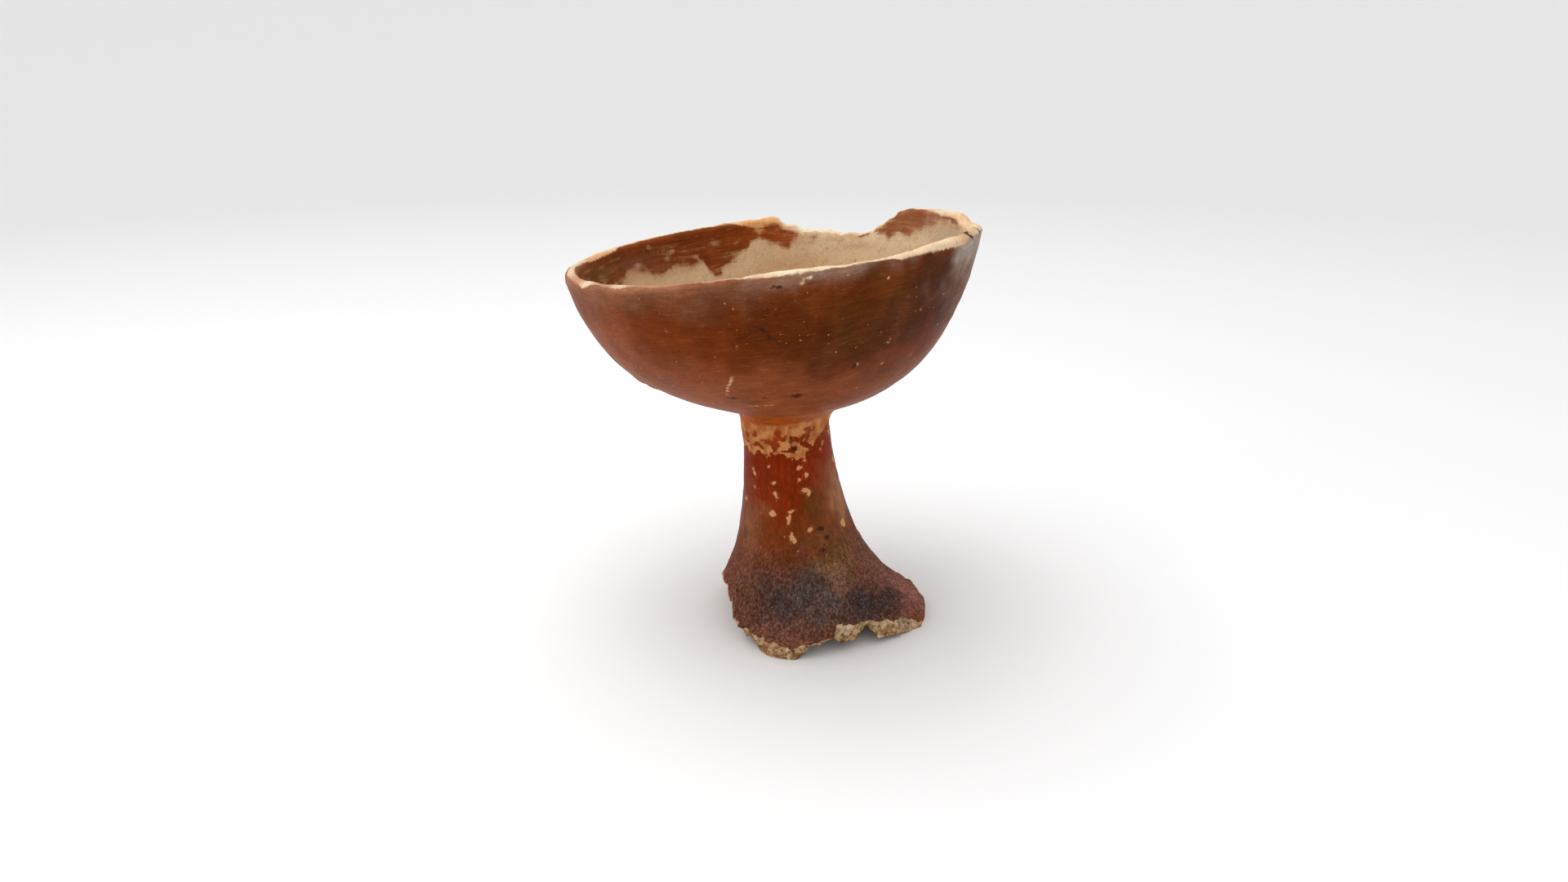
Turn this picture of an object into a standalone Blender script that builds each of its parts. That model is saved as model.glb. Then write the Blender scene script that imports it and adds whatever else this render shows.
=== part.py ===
"""Pedestal cup of fired clay, built by hand, in metres and +Z up.

The cup is one piece: a deep round bowl on a solid stem that opens into a hollow, flared foot.
It is modelled upright along its own axis, where heights count up from a datum plane near the
foot. Then it is leaned over the way its broken foot makes it stand, and cut where it meets the
table. Azimuths are in degrees about the cup's axis: 0 is the right, 90 the back, -90 the front.
"""
import math

import bmesh
import bpy
from mathutils import Matrix

# Bowl
RIM_RADIUS = 0.075
RIM_HEIGHT = 0.147        # the rim's plane above the datum
BOWL_DEPTH = 0.0629       # from the rim's plane to the bottom of the bowl's outside
BOWL_FULLNESS = 1.765     # 2 is an ellipse, and less is more conical
RIM_WALL = 0.0048
FLOOR_WALL = 0.0075

# Unevenness of the hand-built bowl, as shares of its radius
SIDE_PULL = 0.265         # the right side is drawn in below the rim, the left pushed out
SIDE_SWELL = 0.474        # towards the bottom the right side swells, the left is flatter
LEFT_WAVE = 0.042
RIGHT_WAVE = 0.014

# Stem and foot
STEM_RADIUS = 0.0142
STEM_SHIFT = 0.0059       # at the datum the stem stands this far left of the bowl's centre
STEM_SLANT = 0.030        # and it slants back to the right by this share of its height
SHIFT_LOW = 0.078         # the stem's axis crosses to the bowl's between these heights
SHIFT_HIGH = 0.090
NECK_HEIGHT = 0.076       # where the fillet under the bowl has run out
NECK_FILLET = 0.008
NECK_SPREAD = 0.0018      # how far the stem widens to meet the bowl
NECK_LENGTH = 0.005       # that widening shrinks to about a third over this height
FOOT_SPREAD = 0.0317      # how far the foot stands out past the stem at the datum
FLARE_LENGTH = 0.0269     # the flare shrinks to about a third over this height
FOOT_WALL = 0.0045
STEM_WALL = 0.0085
HOLLOW_TOP = 0.060
HOLLOW_SHOULDER = 0.046   # where the hollow's domed end starts

# How it stands
LEAN = math.radians(6.86)     # to the left
NOD = math.radians(0.83)      # to the back
TABLE_BELOW_DATUM = 0.00095   # measured on the bowl's axis

# Azimuth and depth of what is missing from the rim
RIM_BREAK = (
    (-14, 0.0), (-3, 0.0016), (6, 0.0014), (14, 0.0), (46, 0.0003), (50, 0.0042),
    (54, 0.0080), (65, 0.0076), (72, 0.0060), (80, 0.0048), (85, 0.0024), (91, 0.0),
)

# Azimuth and height above the datum of the broken edge of the foot
FOOT_BREAK = (
    (-178, 0.0178), (-160, 0.0183), (-147, 0.0149), (-136, 0.0106), (-126, 0.0088),
    (-115, 0.0074), (-107, 0.0056), (-94, 0.0045), (-84, 0.0051), (-76, 0.0054),
    (-72, 0.0060), (-69, 0.0090), (-58, 0.0076), (-49, 0.0064), (-41, 0.0041),
    (-32, 0.0023), (-24, 0.0004), (-18, -0.0019), (-5, -0.0024), (15, -0.0012),
    (30, -0.0006), (45, 0.0015), (60, 0.0045), (75, 0.0055), (90, 0.0046),
    (105, 0.0058), (118, 0.0070), (130, 0.0076), (142, 0.0082), (150, 0.0095),
    (165, 0.0150),
)

# Azimuth and how far the break runs in under the foot: 0 is plumb, 1 is level
FOOT_UNDERCUT = (
    (-178, 0.6), (-150, 0.6), (-138, 0.4), (-124, 0.35), (-112, 0.0), (-98, 0.05),
    (-84, 0.6), (-77, 0.9), (-72, 0.9), (-69, 0.0), (142, 0.0), (155, 0.5),
)

# Fineness
AZIMUTHS = 108
INSIDE_ROWS = 11
LIP_ROWS = 5
OUTSIDE_ROWS = 12
STEM_ROWS = 12
BREAK_ROWS = 2
HOLLOW_ROWS = 8
NECK_CROWD = 1.3
TRACE_STEP = 0.0005
TRACE_STEPS = 48          # points of a curve before it is spread evenly
CORNER_TRIES = 30         # halvings that find the break's inner corner
WELD = 0.000001
SHARP_ANGLE = math.radians(50)

CLAY_COLOUR = (0.30, 0.10, 0.04, 1.0)
CLAY_ROUGHNESS = 0.6


def smooth_step(share):
    """Go from 0 to 1 with level ends."""
    share = min(max(share, 0.0), 1.0)
    return share * share * (3.0 - 2.0 * share)


def around(points, azimuth):
    """Read a closed ring of (azimuth, value) points at any azimuth."""
    azimuth = (azimuth - points[0][0]) % 360.0 + points[0][0]
    ring = list(points) + [(points[0][0] + 360.0, points[0][1])]
    for (start, first), (end, last) in zip(ring, ring[1:]):
        if azimuth <= end:
            return first + (last - first) * smooth_step((azimuth - start) / (end - start))
    return ring[-1][1]


def spread(line, count, crowd=1.0):
    """Put count points along a line of (radius, height) points, crowded to its end or even."""
    travelled = [0.0]
    for start, end in zip(line, line[1:]):
        travelled.append(travelled[-1] + math.dist(start, end))
    points = []
    piece = 0
    for index in range(count):
        wanted = travelled[-1] * (1.0 - (1.0 - index / (count - 1)) ** crowd)
        while piece < len(line) - 2 and travelled[piece + 1] < wanted:
            piece += 1
        length = travelled[piece + 1] - travelled[piece]
        share = (wanted - travelled[piece]) / length if length > 0 else 0.0
        start, end = line[piece], line[piece + 1]
        points.append((start[0] + (end[0] - start[0]) * share,
                       start[1] + (end[1] - start[1]) * share))
    return points


def fine(line):
    """Trace a line again in small even steps."""
    length = sum(math.dist(start, end) for start, end in zip(line, line[1:]))
    return spread(line, max(int(length / TRACE_STEP), 2) + 1)


def eased(line, reach):
    """Round a line's corners by averaging it over a sliding stretch."""
    traced = fine(line)
    half = int(reach / 2 / TRACE_STEP)
    result = []
    for index in range(len(traced)):
        span = min(half, index, len(traced) - 1 - index)
        window = traced[index - span:index + span + 1]
        result.append((sum(point[0] for point in window) / len(window),
                       sum(point[1] for point in window) / len(window)))
    return result


def bowl_line(azimuth, radius, depth, top):
    """Trace one side of a bowl from a depth of top below the rim's plane to its centre."""
    side = math.cos(math.radians(azimuth))
    wave = (RIGHT_WAVE if side > 0 else -LEFT_WAVE) * side * side
    first = math.asin((top / depth) ** (BOWL_FULLNESS / 2.0))
    line = []
    for index in range(TRACE_STEPS + 1):
        turn = first + (math.pi / 2.0 - first) * index / TRACE_STEPS
        drop = math.sin(turn) ** (2.0 / BOWL_FULLNESS)
        swell = 1.0 + side * drop * (SIDE_SWELL * drop - SIDE_PULL)
        swell += wave * math.sin(2.0 * math.pi * drop)
        line.append((radius * math.cos(turn) * swell, RIM_HEIGHT - depth * drop))
    return line


def flare_radius(height):
    """Radius of the outside of the stem and foot."""
    foot = FOOT_SPREAD * math.exp(-height / FLARE_LENGTH)
    above = min(height - RIM_HEIGHT + BOWL_DEPTH, NECK_LENGTH)
    return STEM_RADIUS + foot + NECK_SPREAD * math.exp(above / NECK_LENGTH)


def hollow_point(height):
    """Point of the hollow that lies behind the outside at a height."""
    slope = -FOOT_SPREAD / FLARE_LENGTH * math.exp(-height / FLARE_LENGTH)
    wall = FOOT_WALL + (STEM_WALL - FOOT_WALL) * smooth_step(height / HOLLOW_SHOULDER)
    length = math.hypot(1.0, slope)
    return flare_radius(height) - wall / length, height + wall * slope / length


def corner_height(azimuth, radius, edge):
    """Height whose hollow point is the inner corner of the foot's broken face."""
    low, high = edge - 2.0 * FOOT_WALL, edge + FOOT_WALL
    undercut = around(FOOT_UNDERCUT, azimuth)
    for _ in range(CORNER_TRIES):
        middle = (low + high) / 2.0
        inner, height = hollow_point(middle)
        slant = math.atan2(radius - inner, edge - height) / (math.pi / 2.0)
        if slant < undercut:
            low = middle
        else:
            high = middle
    return low


def outside_lines(azimuth, lip_depth):
    """Trace the bowl's outside from the lip to the neck, then the stem's to the broken edge."""
    edge = around(FOOT_BREAK, azimuth)
    line = []
    for radius, height in bowl_line(azimuth, RIM_RADIUS, BOWL_DEPTH, lip_depth):
        if radius < flare_radius(height):
            break
        line.append((radius, height))
    start = line[-1][1]
    for index in range(1, TRACE_STEPS + 1):
        height = start + (edge - start) * index / TRACE_STEPS
        line.append((flare_radius(height), height))
    line = eased(line, NECK_FILLET)
    neck = next(index for index, point in enumerate(line) if point[1] < NECK_HEIGHT)
    return line[:neck + 1], line[neck:]


def hollow_line(azimuth, radius, edge):
    """Trace the hollow from behind the broken edge up to its domed end."""
    corner = corner_height(azimuth, radius, edge)
    line = []
    for index in range(TRACE_STEPS + 1):
        line.append(hollow_point(corner + (HOLLOW_SHOULDER - corner) * index / TRACE_STEPS))
    width, shoulder = line[-1]
    for index in range(1, TRACE_STEPS + 1):
        turn = math.pi / 2.0 * index / TRACE_STEPS
        line.append((width * math.cos(turn),
                     shoulder + (HOLLOW_TOP - shoulder) * math.sin(turn)))
    line[-1] = (0.0, HOLLOW_TOP)
    return line


def lip_line(inner, outer):
    """Half a turn over the rim, from the inner wall's top to the outer one's."""
    middle = ((inner[0] + outer[0]) / 2.0, (inner[1] + outer[1]) / 2.0)
    half = (outer[0] - inner[0]) / 2.0
    line = []
    for index in range(1, LIP_ROWS + 1):
        turn = math.pi * index / (LIP_ROWS + 1)
        line.append((middle[0] - half * math.cos(turn), middle[1] + half * math.sin(turn)))
    return line


def section(azimuth):
    """Outline of the cup at an azimuth, from the bowl's floor over the rim to the hollow."""
    lip_depth = RIM_WALL / 2.0 + around(RIM_BREAK, azimuth)
    inside = bowl_line(azimuth, RIM_RADIUS - RIM_WALL, BOWL_DEPTH - FLOOR_WALL, lip_depth)
    inside[-1] = (0.0, RIM_HEIGHT - BOWL_DEPTH + FLOOR_WALL)
    inside.reverse()
    outside, stem = outside_lines(azimuth, lip_depth)
    edge = stem[-1]
    hollow = hollow_line(azimuth, edge[0], edge[1])
    face = [(edge[0] + (hollow[0][0] - edge[0]) * index / (BREAK_ROWS + 1),
             edge[1] + (hollow[0][1] - edge[1]) * index / (BREAK_ROWS + 1))
            for index in range(1, BREAK_ROWS + 1)]
    lip = lip_line(inside[-1], outside[0])
    return (spread(inside, INSIDE_ROWS) + lip + spread(outside, OUTSIDE_ROWS, NECK_CROWD)
            + spread(stem, STEM_ROWS)[1:] + face + spread(hollow, HOLLOW_ROWS))


def axis_shift(height):
    """Sideways place of the cup's axis at a height."""
    part = smooth_step((SHIFT_HIGH - height) / (SHIFT_HIGH - SHIFT_LOW))
    return (STEM_SLANT * height - STEM_SHIFT) * part


def turned_body():
    """Spin the right-hand section, then move each point to the section of its own azimuth."""
    body = bmesh.new()
    row_of = body.verts.layers.int.new("row")
    profile = section(0.0)
    points = []
    for row, (radius, height) in enumerate(profile):
        point = body.verts.new((radius, 0.0, height))
        point[row_of] = row
        points.append(point)
    edges = [body.edges.new(pair) for pair in zip(points, points[1:])]
    bmesh.ops.spin(body, geom=points + edges, cent=(0, 0, 0), axis=(0, 0, 1),
                   angle=2.0 * math.pi, steps=AZIMUTHS, use_merge=True)
    bmesh.ops.remove_doubles(body, verts=body.verts, dist=WELD)
    sections = {}
    for point in body.verts:
        if point[row_of] in (0, len(profile) - 1):
            continue
        turn = math.atan2(point.co.y, point.co.x)
        place = round(turn * AZIMUTHS / (2.0 * math.pi))
        if place not in sections:
            sections[place] = section(math.degrees(turn))
        radius, height = sections[place][point[row_of]]
        point.co = (radius * math.cos(turn), radius * math.sin(turn), height)
    for point in body.verts:
        point.co.x += axis_shift(point.co.z)
    bmesh.ops.recalc_face_normals(body, faces=body.faces)
    return body


def stand(body):
    """Lean the cup over, cut it level with the table and centre it there."""
    lean = Matrix.Rotation(-LEAN, 4, "Y") @ Matrix.Rotation(-NOD, 4, "X")
    bmesh.ops.transform(body, matrix=lean, verts=body.verts)
    cut = bmesh.ops.bisect_plane(body, geom=body.verts[:] + body.edges[:] + body.faces[:],
                                 dist=WELD, plane_co=(0, 0, -TABLE_BELOW_DATUM),
                                 plane_no=(0, 0, 1), clear_inner=True)
    rims = [part for part in cut["geom_cut"] if isinstance(part, bmesh.types.BMEdge)]
    if rims:
        bmesh.ops.triangle_fill(body, use_beauty=True, use_dissolve=False, edges=rims)
    lows = [min(point.co[axis] for point in body.verts) for axis in range(3)]
    highs = [max(point.co[axis] for point in body.verts) for axis in range(3)]
    bmesh.ops.translate(body, verts=body.verts, vec=(
        -(lows[0] + highs[0]) / 2.0, -(lows[1] + highs[1]) / 2.0, -lows[2]))


def fired_clay():
    """Red-brown slip over fired clay."""
    material = bpy.data.materials.new("fired_clay")
    material.use_nodes = True
    shader = material.node_tree.nodes["Principled BSDF"]
    shader.inputs["Base Color"].default_value = CLAY_COLOUR
    shader.inputs["Roughness"].default_value = CLAY_ROUGHNESS
    shader.inputs["Metallic"].default_value = 0.0
    return material


def pedestal_cup(collection):
    """Add the cup, the one piece that the object is made of."""
    body = turned_body()
    stand(body)
    mesh = bpy.data.meshes.new("pedestal_cup")
    body.to_mesh(mesh)
    body.free()
    mesh.materials.append(fired_clay())
    mesh.shade_smooth()
    mesh.set_sharp_from_angle(angle=SHARP_ANGLE)
    cup = bpy.data.objects.new("pedestal_cup", mesh)
    collection.objects.link(cup)
    return cup


def main():
    for old in list(bpy.data.objects):
        bpy.data.objects.remove(old, do_unlink=True)
    collection = bpy.data.collections.new("pedestal_cup")
    bpy.context.scene.collection.children.link(collection)
    pedestal_cup(collection)


main()
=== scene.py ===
import math

import bpy
import numpy as np
from mathutils import Euler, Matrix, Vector, noise


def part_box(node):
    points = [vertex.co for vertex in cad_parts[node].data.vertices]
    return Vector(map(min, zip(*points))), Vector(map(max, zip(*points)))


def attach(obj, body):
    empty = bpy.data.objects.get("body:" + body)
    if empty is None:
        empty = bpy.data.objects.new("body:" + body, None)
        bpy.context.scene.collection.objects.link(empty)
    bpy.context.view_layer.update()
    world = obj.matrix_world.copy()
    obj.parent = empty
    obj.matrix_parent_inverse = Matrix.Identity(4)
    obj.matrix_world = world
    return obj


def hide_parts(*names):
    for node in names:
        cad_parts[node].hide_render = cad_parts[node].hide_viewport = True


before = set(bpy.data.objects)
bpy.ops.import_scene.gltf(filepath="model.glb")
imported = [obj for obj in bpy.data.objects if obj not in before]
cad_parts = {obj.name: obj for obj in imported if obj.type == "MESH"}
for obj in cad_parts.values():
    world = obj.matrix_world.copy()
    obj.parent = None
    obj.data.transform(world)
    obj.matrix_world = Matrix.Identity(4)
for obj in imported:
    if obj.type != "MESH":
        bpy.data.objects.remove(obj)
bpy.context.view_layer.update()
inMm = 1000.0                      # millimetres in a metre

# The cup's form, in metres, with the sizes of its solid. Azimuths are in degrees about the cup's own
# axis: 0 is the right, 90 the back, -90 the front. Heights count up from the datum near the foot.
cup = {
    "rimRadius": 0.075,
    "rimHeight": 0.147,
    "bowlDepth": 0.0629,
    "bowlFullness": 1.765,    # 2 is an ellipse, less is more conical
    "rimWall": 0.0048,
    "floorWall": 0.0075,
    "sidePull": 0.265,        # the right side is drawn in below the rim
    "sideSwell": 0.474,       # and swells towards the bottom
    "leftWave": 0.042,
    "rightWave": 0.014,
    "stemRadius": 0.0142,
    "stemShift": 0.0059,
    "stemSlant": 0.030,
    "shiftLow": 0.078,
    "shiftHigh": 0.090,
    "neckHeight": 0.076,
    "neckFillet": 0.013,
    "neckSpread": 0.0026,
    "neckLength": 0.005,
    "footSpread": 0.0317,
    "flareLength": 0.0269,
    "footWall": 0.0045,
    "stemWall": 0.0085,
    "hollowTop": 0.060,
    "hollowShoulder": 0.046,
    "lipPower": 0.8,                # 0.5 is a round lip, 1 a pointed one
    "lipLoss": 0.7,                 # share of the lip's crown that is gone where the rim is broken
    "lipLossFrom": (0.0, 0.002),    # over this depth of the break
    "lean": math.radians(6.86),     # to the left
    "nod": math.radians(0.83),      # to the back
    "tableBelowDatum": 0.00095,
    "rimBreak": (                   # azimuth, depth of what is missing
        (-14, 0.0), (-3, 0.0016), (6, 0.0014), (14, 0.0), (39, 0.0), (44, 0.0006), (47, 0.0018),
        (51, 0.0048), (55, 0.0070), (60, 0.0080), (66, 0.0074), (72, 0.0062), (80, 0.0050),
        (85, 0.0026), (91, 0.0),
    ),
    "rimRise": (                    # azimuth, how far the rim swells above its plane
        (-118, 0.0), (-106, 0.0004), (-97, 0.0009), (-88, 0.0014), (-80, 0.0011), (-70, 0.0003),
        (-60, 0.0), (-52, 0.0003), (-45, 0.0008), (-38, 0.0006), (-30, 0.0),
    ),
    "rimRiseFrom": (0.024, 0.0),    # and it starts this far below the rim
    "footBreak": (                  # azimuth, height of the broken edge
        (-178, 0.0178), (-160, 0.0183), (-147, 0.0149), (-136, 0.0106), (-126, 0.0088),
        (-115, 0.0074), (-107, 0.0056), (-94, 0.0045), (-84, 0.0051), (-76, 0.0054),
        (-72, 0.0060), (-69, 0.0090), (-58, 0.0076), (-49, 0.0064), (-41, 0.0041),
        (-32, 0.0023), (-24, 0.0004), (-18, -0.0019), (-5, -0.0024), (15, -0.0012),
        (30, -0.0006), (45, 0.0015), (60, 0.0045), (75, 0.0055), (90, 0.0046),
        (105, 0.0058), (118, 0.0070), (130, 0.0076), (142, 0.0082), (150, 0.0095),
        (165, 0.0150),
    ),
    "footUndercut": (               # azimuth, how far the break runs in: 0 is plumb, 1 is level
        (-178, 0.6), (-150, 0.6), (-138, 0.4), (-124, 0.35), (-112, 0.0), (-98, 0.05),
        (-84, 0.6), (-77, 0.9), (-72, 0.9), (-69, 0.0), (142, 0.0), (155, 0.5),
    ),
    "underNotch": (                 # azimuth, how far the underside is bitten up
        (-124, 0.0), (-121, 0.0012), (-117, 0.0), (-58, 0.0), (-54, 0.0026),
        (-47, 0.0034), (-43, 0.0), (96, 0.0), (101, 0.0020), (109, 0.0),
    ),
    "steps": 704,                   # points round the widest row
    "wedges": 8,                    # spun once and copied round
    "rows": {"inside": 44, "lip": 13, "bowl": 62, "stem": 104, "face": 11, "hollow": 32},
    "cells": {"inside": 0.0013, "lip": 0.0007, "bowl": 0.0008, "stem": 0.0007, "face": 0.0005,
              "hollow": 0.0012},    # widest spacing of points along a row
    "mostHalvings": 6,              # how often the points of a narrow row are halved
    "poleRadius": 0.0001,           # rows narrower than this count as this wide
    "traceSteps": 90,
    "traceStep": 0.0004,
    "weld": 0.0000001,
    "cutReach": 0.000001,
    "cutWeld": 0.00001,
    "tableHold": (0.0002, 0.0022),  # below this height over the table the foot keeps flat
    "chips": (                      # azimuth, height, reach, depth
        (-26, 0.1466, 0.0026, 0.0009), (-21, 0.1462, 0.0018, 0.0006), (95, 0.1455, 0.0045, 0.0013),
        (-97, 0.1470, 0.0016, 0.0004), (-137, 0.1468, 0.0020, 0.0006), (-52, 0.1470, 0.0018, 0.0004),
        (128, 0.1468, 0.0016, 0.0005), (168, 0.1466, 0.0020, 0.0006), (30, 0.1468, 0.0020, 0.0005),
        (-157, 0.1075, 0.0036, -0.0006), (-149, 0.1062, 0.0030, -0.0004),
        (-153, 0.1180, 0.0040, 0.0004),
    ),
    "chipFrill": 0.35,              # how ragged a chip's edge is
    "chipEdge": (1.2, 0.2),         # share of its reach at which a chip ends, and is full depth
}

# Patterns on the cup: size in metres, how far they go (in metres too if not said), octaves, shift
patterns = {
    "handWaves": (0.021, 0.00042, 3, 0.0),
    "footLumps": (0.0120, 0.00040, 3, 7.0),
    "burnish": ((0.0075, 0.0075, 0.003375), 0.00010, 3, 3.0),
    "wiping": ((0.0245, 0.0245, 0.0035), 0.00014, 3, 5.0),
    "scraping": ((0.0042, 0.0042, 0.0294), 0.00016, 3, 9.0),
    "wrinkles": ((0.0040, 0.0040, 0.0032), 0.00034, 4, 11.0),
    "lipWear": (0.0060, 0.00040, 3, 13.0),
    "breakLumps": (0.0050, 0.00120, 3, 17.0),
    "breakGrain": (0.0016, 0.00062, 3, 19.0),
    "remains": ((0.0036, 0.0036, 0.0024), 0.005, 4, 29.0),
    "footEdge": (0.0036, 0.0014, 3, 43.0),
    "insideEdge": (0.006, 2.4, 3, 53.0),         # goes in mm
    "warpRound": (0.011, 16.0, 4, 31.0),         # in degrees
    "warpUp": (0.009, 7.0, 4, 37.0),             # in mm
    "cream": (0.02, 3.0, 3, 41.0),
    "mottle": (0.0030, 1.0, 3, 61.0),
}

relief = {
    "seed": 3,                      # of the crumbling, and 0 would make it differ each time
    "chips": (2, 23.0),             # octaves and shift alone
    "breakRough": (                 # azimuth, how rough the foot's break is
        (-178, 0.12), (-150, 0.16), (-138, 0.5), (-126, 1.0), (-40, 1.1), (-28, 0.8), (-18, 0.35),
        (0, 0.25), (20, 0.5), (60, 1.0), (150, 1.0), (165, 0.6),
    ),
    "hollowScraping": 2.0,          # times that of the stem
    "wrinkleCrest": 0.000119,
    "wrinkleLoss": 0.7,             # share of the wrinkles lost beside the break
    "lipCrumble": 0.6,
    "rimCrumble": 1.2,              # added to that where the rim is broken
    "rimRough": 0.55,
    "least": 0.001,                 # crumbling weaker than this is left out
    "flakeDepth": 0.00013,
}

# Each part of the skin starts at the first value and is full at the second, in metres
reaches = {
    "awayFromPoles": (0.0, 0.018),  # radius
    "footLumps": (0.078, 0.058),    # height
    "roughFoot": (0.047, 0.021),
    "footBreak": (0.0013, 0.0),     # distance from the edge
    "rimBreak": (0.00416, 0.00156),
    "rimMissing": (0.0, 0.0015),    # depth of the break
    "lipWear": (0.00525, 0.00175),  # distance from the crown of the lip
    "lipClay": (0.0064, 0.0024),
    "lipSoft": (0.007, 0.002),
    "flaked": (-0.00025, 0.00025),  # distance inside the bare clay
    "stemClayLow": (0.020, 0.028),
    "stemClayHigh": (0.070, 0.064),
    "footClay": (0.026, 0.020),
    "mottleLow": (0.066, 0.070),
    "mottleHigh": (0.092, 0.088),
    "collarRim": (0.0798, 0.0818),
    "mottle": (-0.3125, 0.3125),    # of the pattern
}


def smoothStep(share):
    share = np.clip(share, 0.0, 1.0)
    return share * share * (3.0 - 2.0 * share)


def ramp(values, ends):
    return smoothStep((values - ends[0]) / (ends[1] - ends[0]))


def reach(values, name):
    return ramp(values, reaches[name])


def around(points, azimuth):
    ring = np.array(list(points) + [(points[0][0] + 360.0, points[0][1])], float)
    azimuth = (np.asarray(azimuth, float) - ring[0, 0]) % 360.0 + ring[0, 0]
    place = np.clip(np.searchsorted(ring[:, 0], azimuth) - 1, 0, len(ring) - 2)
    share = (azimuth - ring[place, 0]) / (ring[place + 1, 0] - ring[place, 0])
    return ring[place, 1] + (ring[place + 1, 1] - ring[place, 1]) * smoothStep(share)


def toLinear(red, green, blue):
    parts = np.array([red, green, blue]) / 255.0
    return np.where(parts <= 0.04045, parts / 12.92, ((parts + 0.055) / 1.055) ** 2.4)


def deselectAll():
    for thing in bpy.context.selected_objects:
        thing.select_set(False)


def activate(thing):
    deselectAll()
    thing.select_set(True)
    bpy.context.view_layer.objects.active = thing


def selectAll():
    bpy.ops.mesh.select_all(action="SELECT")


def startEdit():
    bpy.ops.object.mode_set(mode="EDIT")
    selectAll()


def endEdit():
    bpy.ops.object.mode_set(mode="OBJECT")


# The section through one side of the cup, as rows of (radius, height)

def travelled(line):
    return np.concatenate([[0.0], np.cumsum(np.hypot(*np.diff(line, axis=0).T))])


def spreadLine(line, count):
    lengths = travelled(line)
    wanted = np.linspace(0.0, lengths[-1], count)
    return np.column_stack([np.interp(wanted, lengths, part) for part in line.T])


def easedLine(line, reach):
    traced = spreadLine(line, int(travelled(line)[-1] / cup["traceStep"]) + 1)
    places = np.arange(len(traced))
    span = np.minimum(int(reach / 2 / cup["traceStep"]), np.minimum(places, places[::-1]))
    sums = np.vstack([[0.0, 0.0], np.cumsum(traced, axis=0)])
    return (sums[places + span + 1] - sums[places - span]) / (2 * span + 1)[:, None]


def bowlLine(azimuth, radius, depth, top):
    side = math.cos(math.radians(azimuth))
    wave = (cup["rightWave"] if side > 0 else -cup["leftWave"]) * side * side
    first = math.asin((top / depth) ** (cup["bowlFullness"] / 2.0))
    turn = np.linspace(first, math.pi / 2.0, cup["traceSteps"])
    drop = np.sin(turn) ** (2.0 / cup["bowlFullness"])
    swell = 1.0 + side * drop * (cup["sideSwell"] * drop - cup["sidePull"])
    swell += wave * np.sin(2.0 * math.pi * drop)
    return np.column_stack([radius * np.cos(turn) * swell, cup["rimHeight"] - depth * drop])


def flareRadius(height):
    foot = cup["footSpread"] * np.exp(-height / cup["flareLength"])
    above = np.minimum(height - cup["rimHeight"] + cup["bowlDepth"], cup["neckLength"])
    return cup["stemRadius"] + foot + cup["neckSpread"] * np.exp(above / cup["neckLength"])


def hollowPoint(height):
    slope = -cup["footSpread"] / cup["flareLength"] * np.exp(-height / cup["flareLength"])
    thicker = ramp(height, (0.0, cup["hollowShoulder"]))
    wall = cup["footWall"] + (cup["stemWall"] - cup["footWall"]) * thicker
    length = np.hypot(1.0, slope)
    return np.column_stack([flareRadius(height) - wall / length, height + wall * slope / length])


def cornerHeight(azimuth, radius, edge):
    heights = np.linspace(edge - 2.0 * cup["footWall"], edge + cup["footWall"], cup["traceSteps"] * 3)
    inner = hollowPoint(heights)
    slant = np.arctan2(radius - inner[:, 0], edge - inner[:, 1]) / (math.pi / 2.0)
    steep = np.nonzero(slant >= around(cup["footUndercut"], azimuth))[0]
    corner = heights[steep[0]] if len(steep) else heights[-1]
    return corner + float(around(cup["underNotch"], azimuth))


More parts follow.
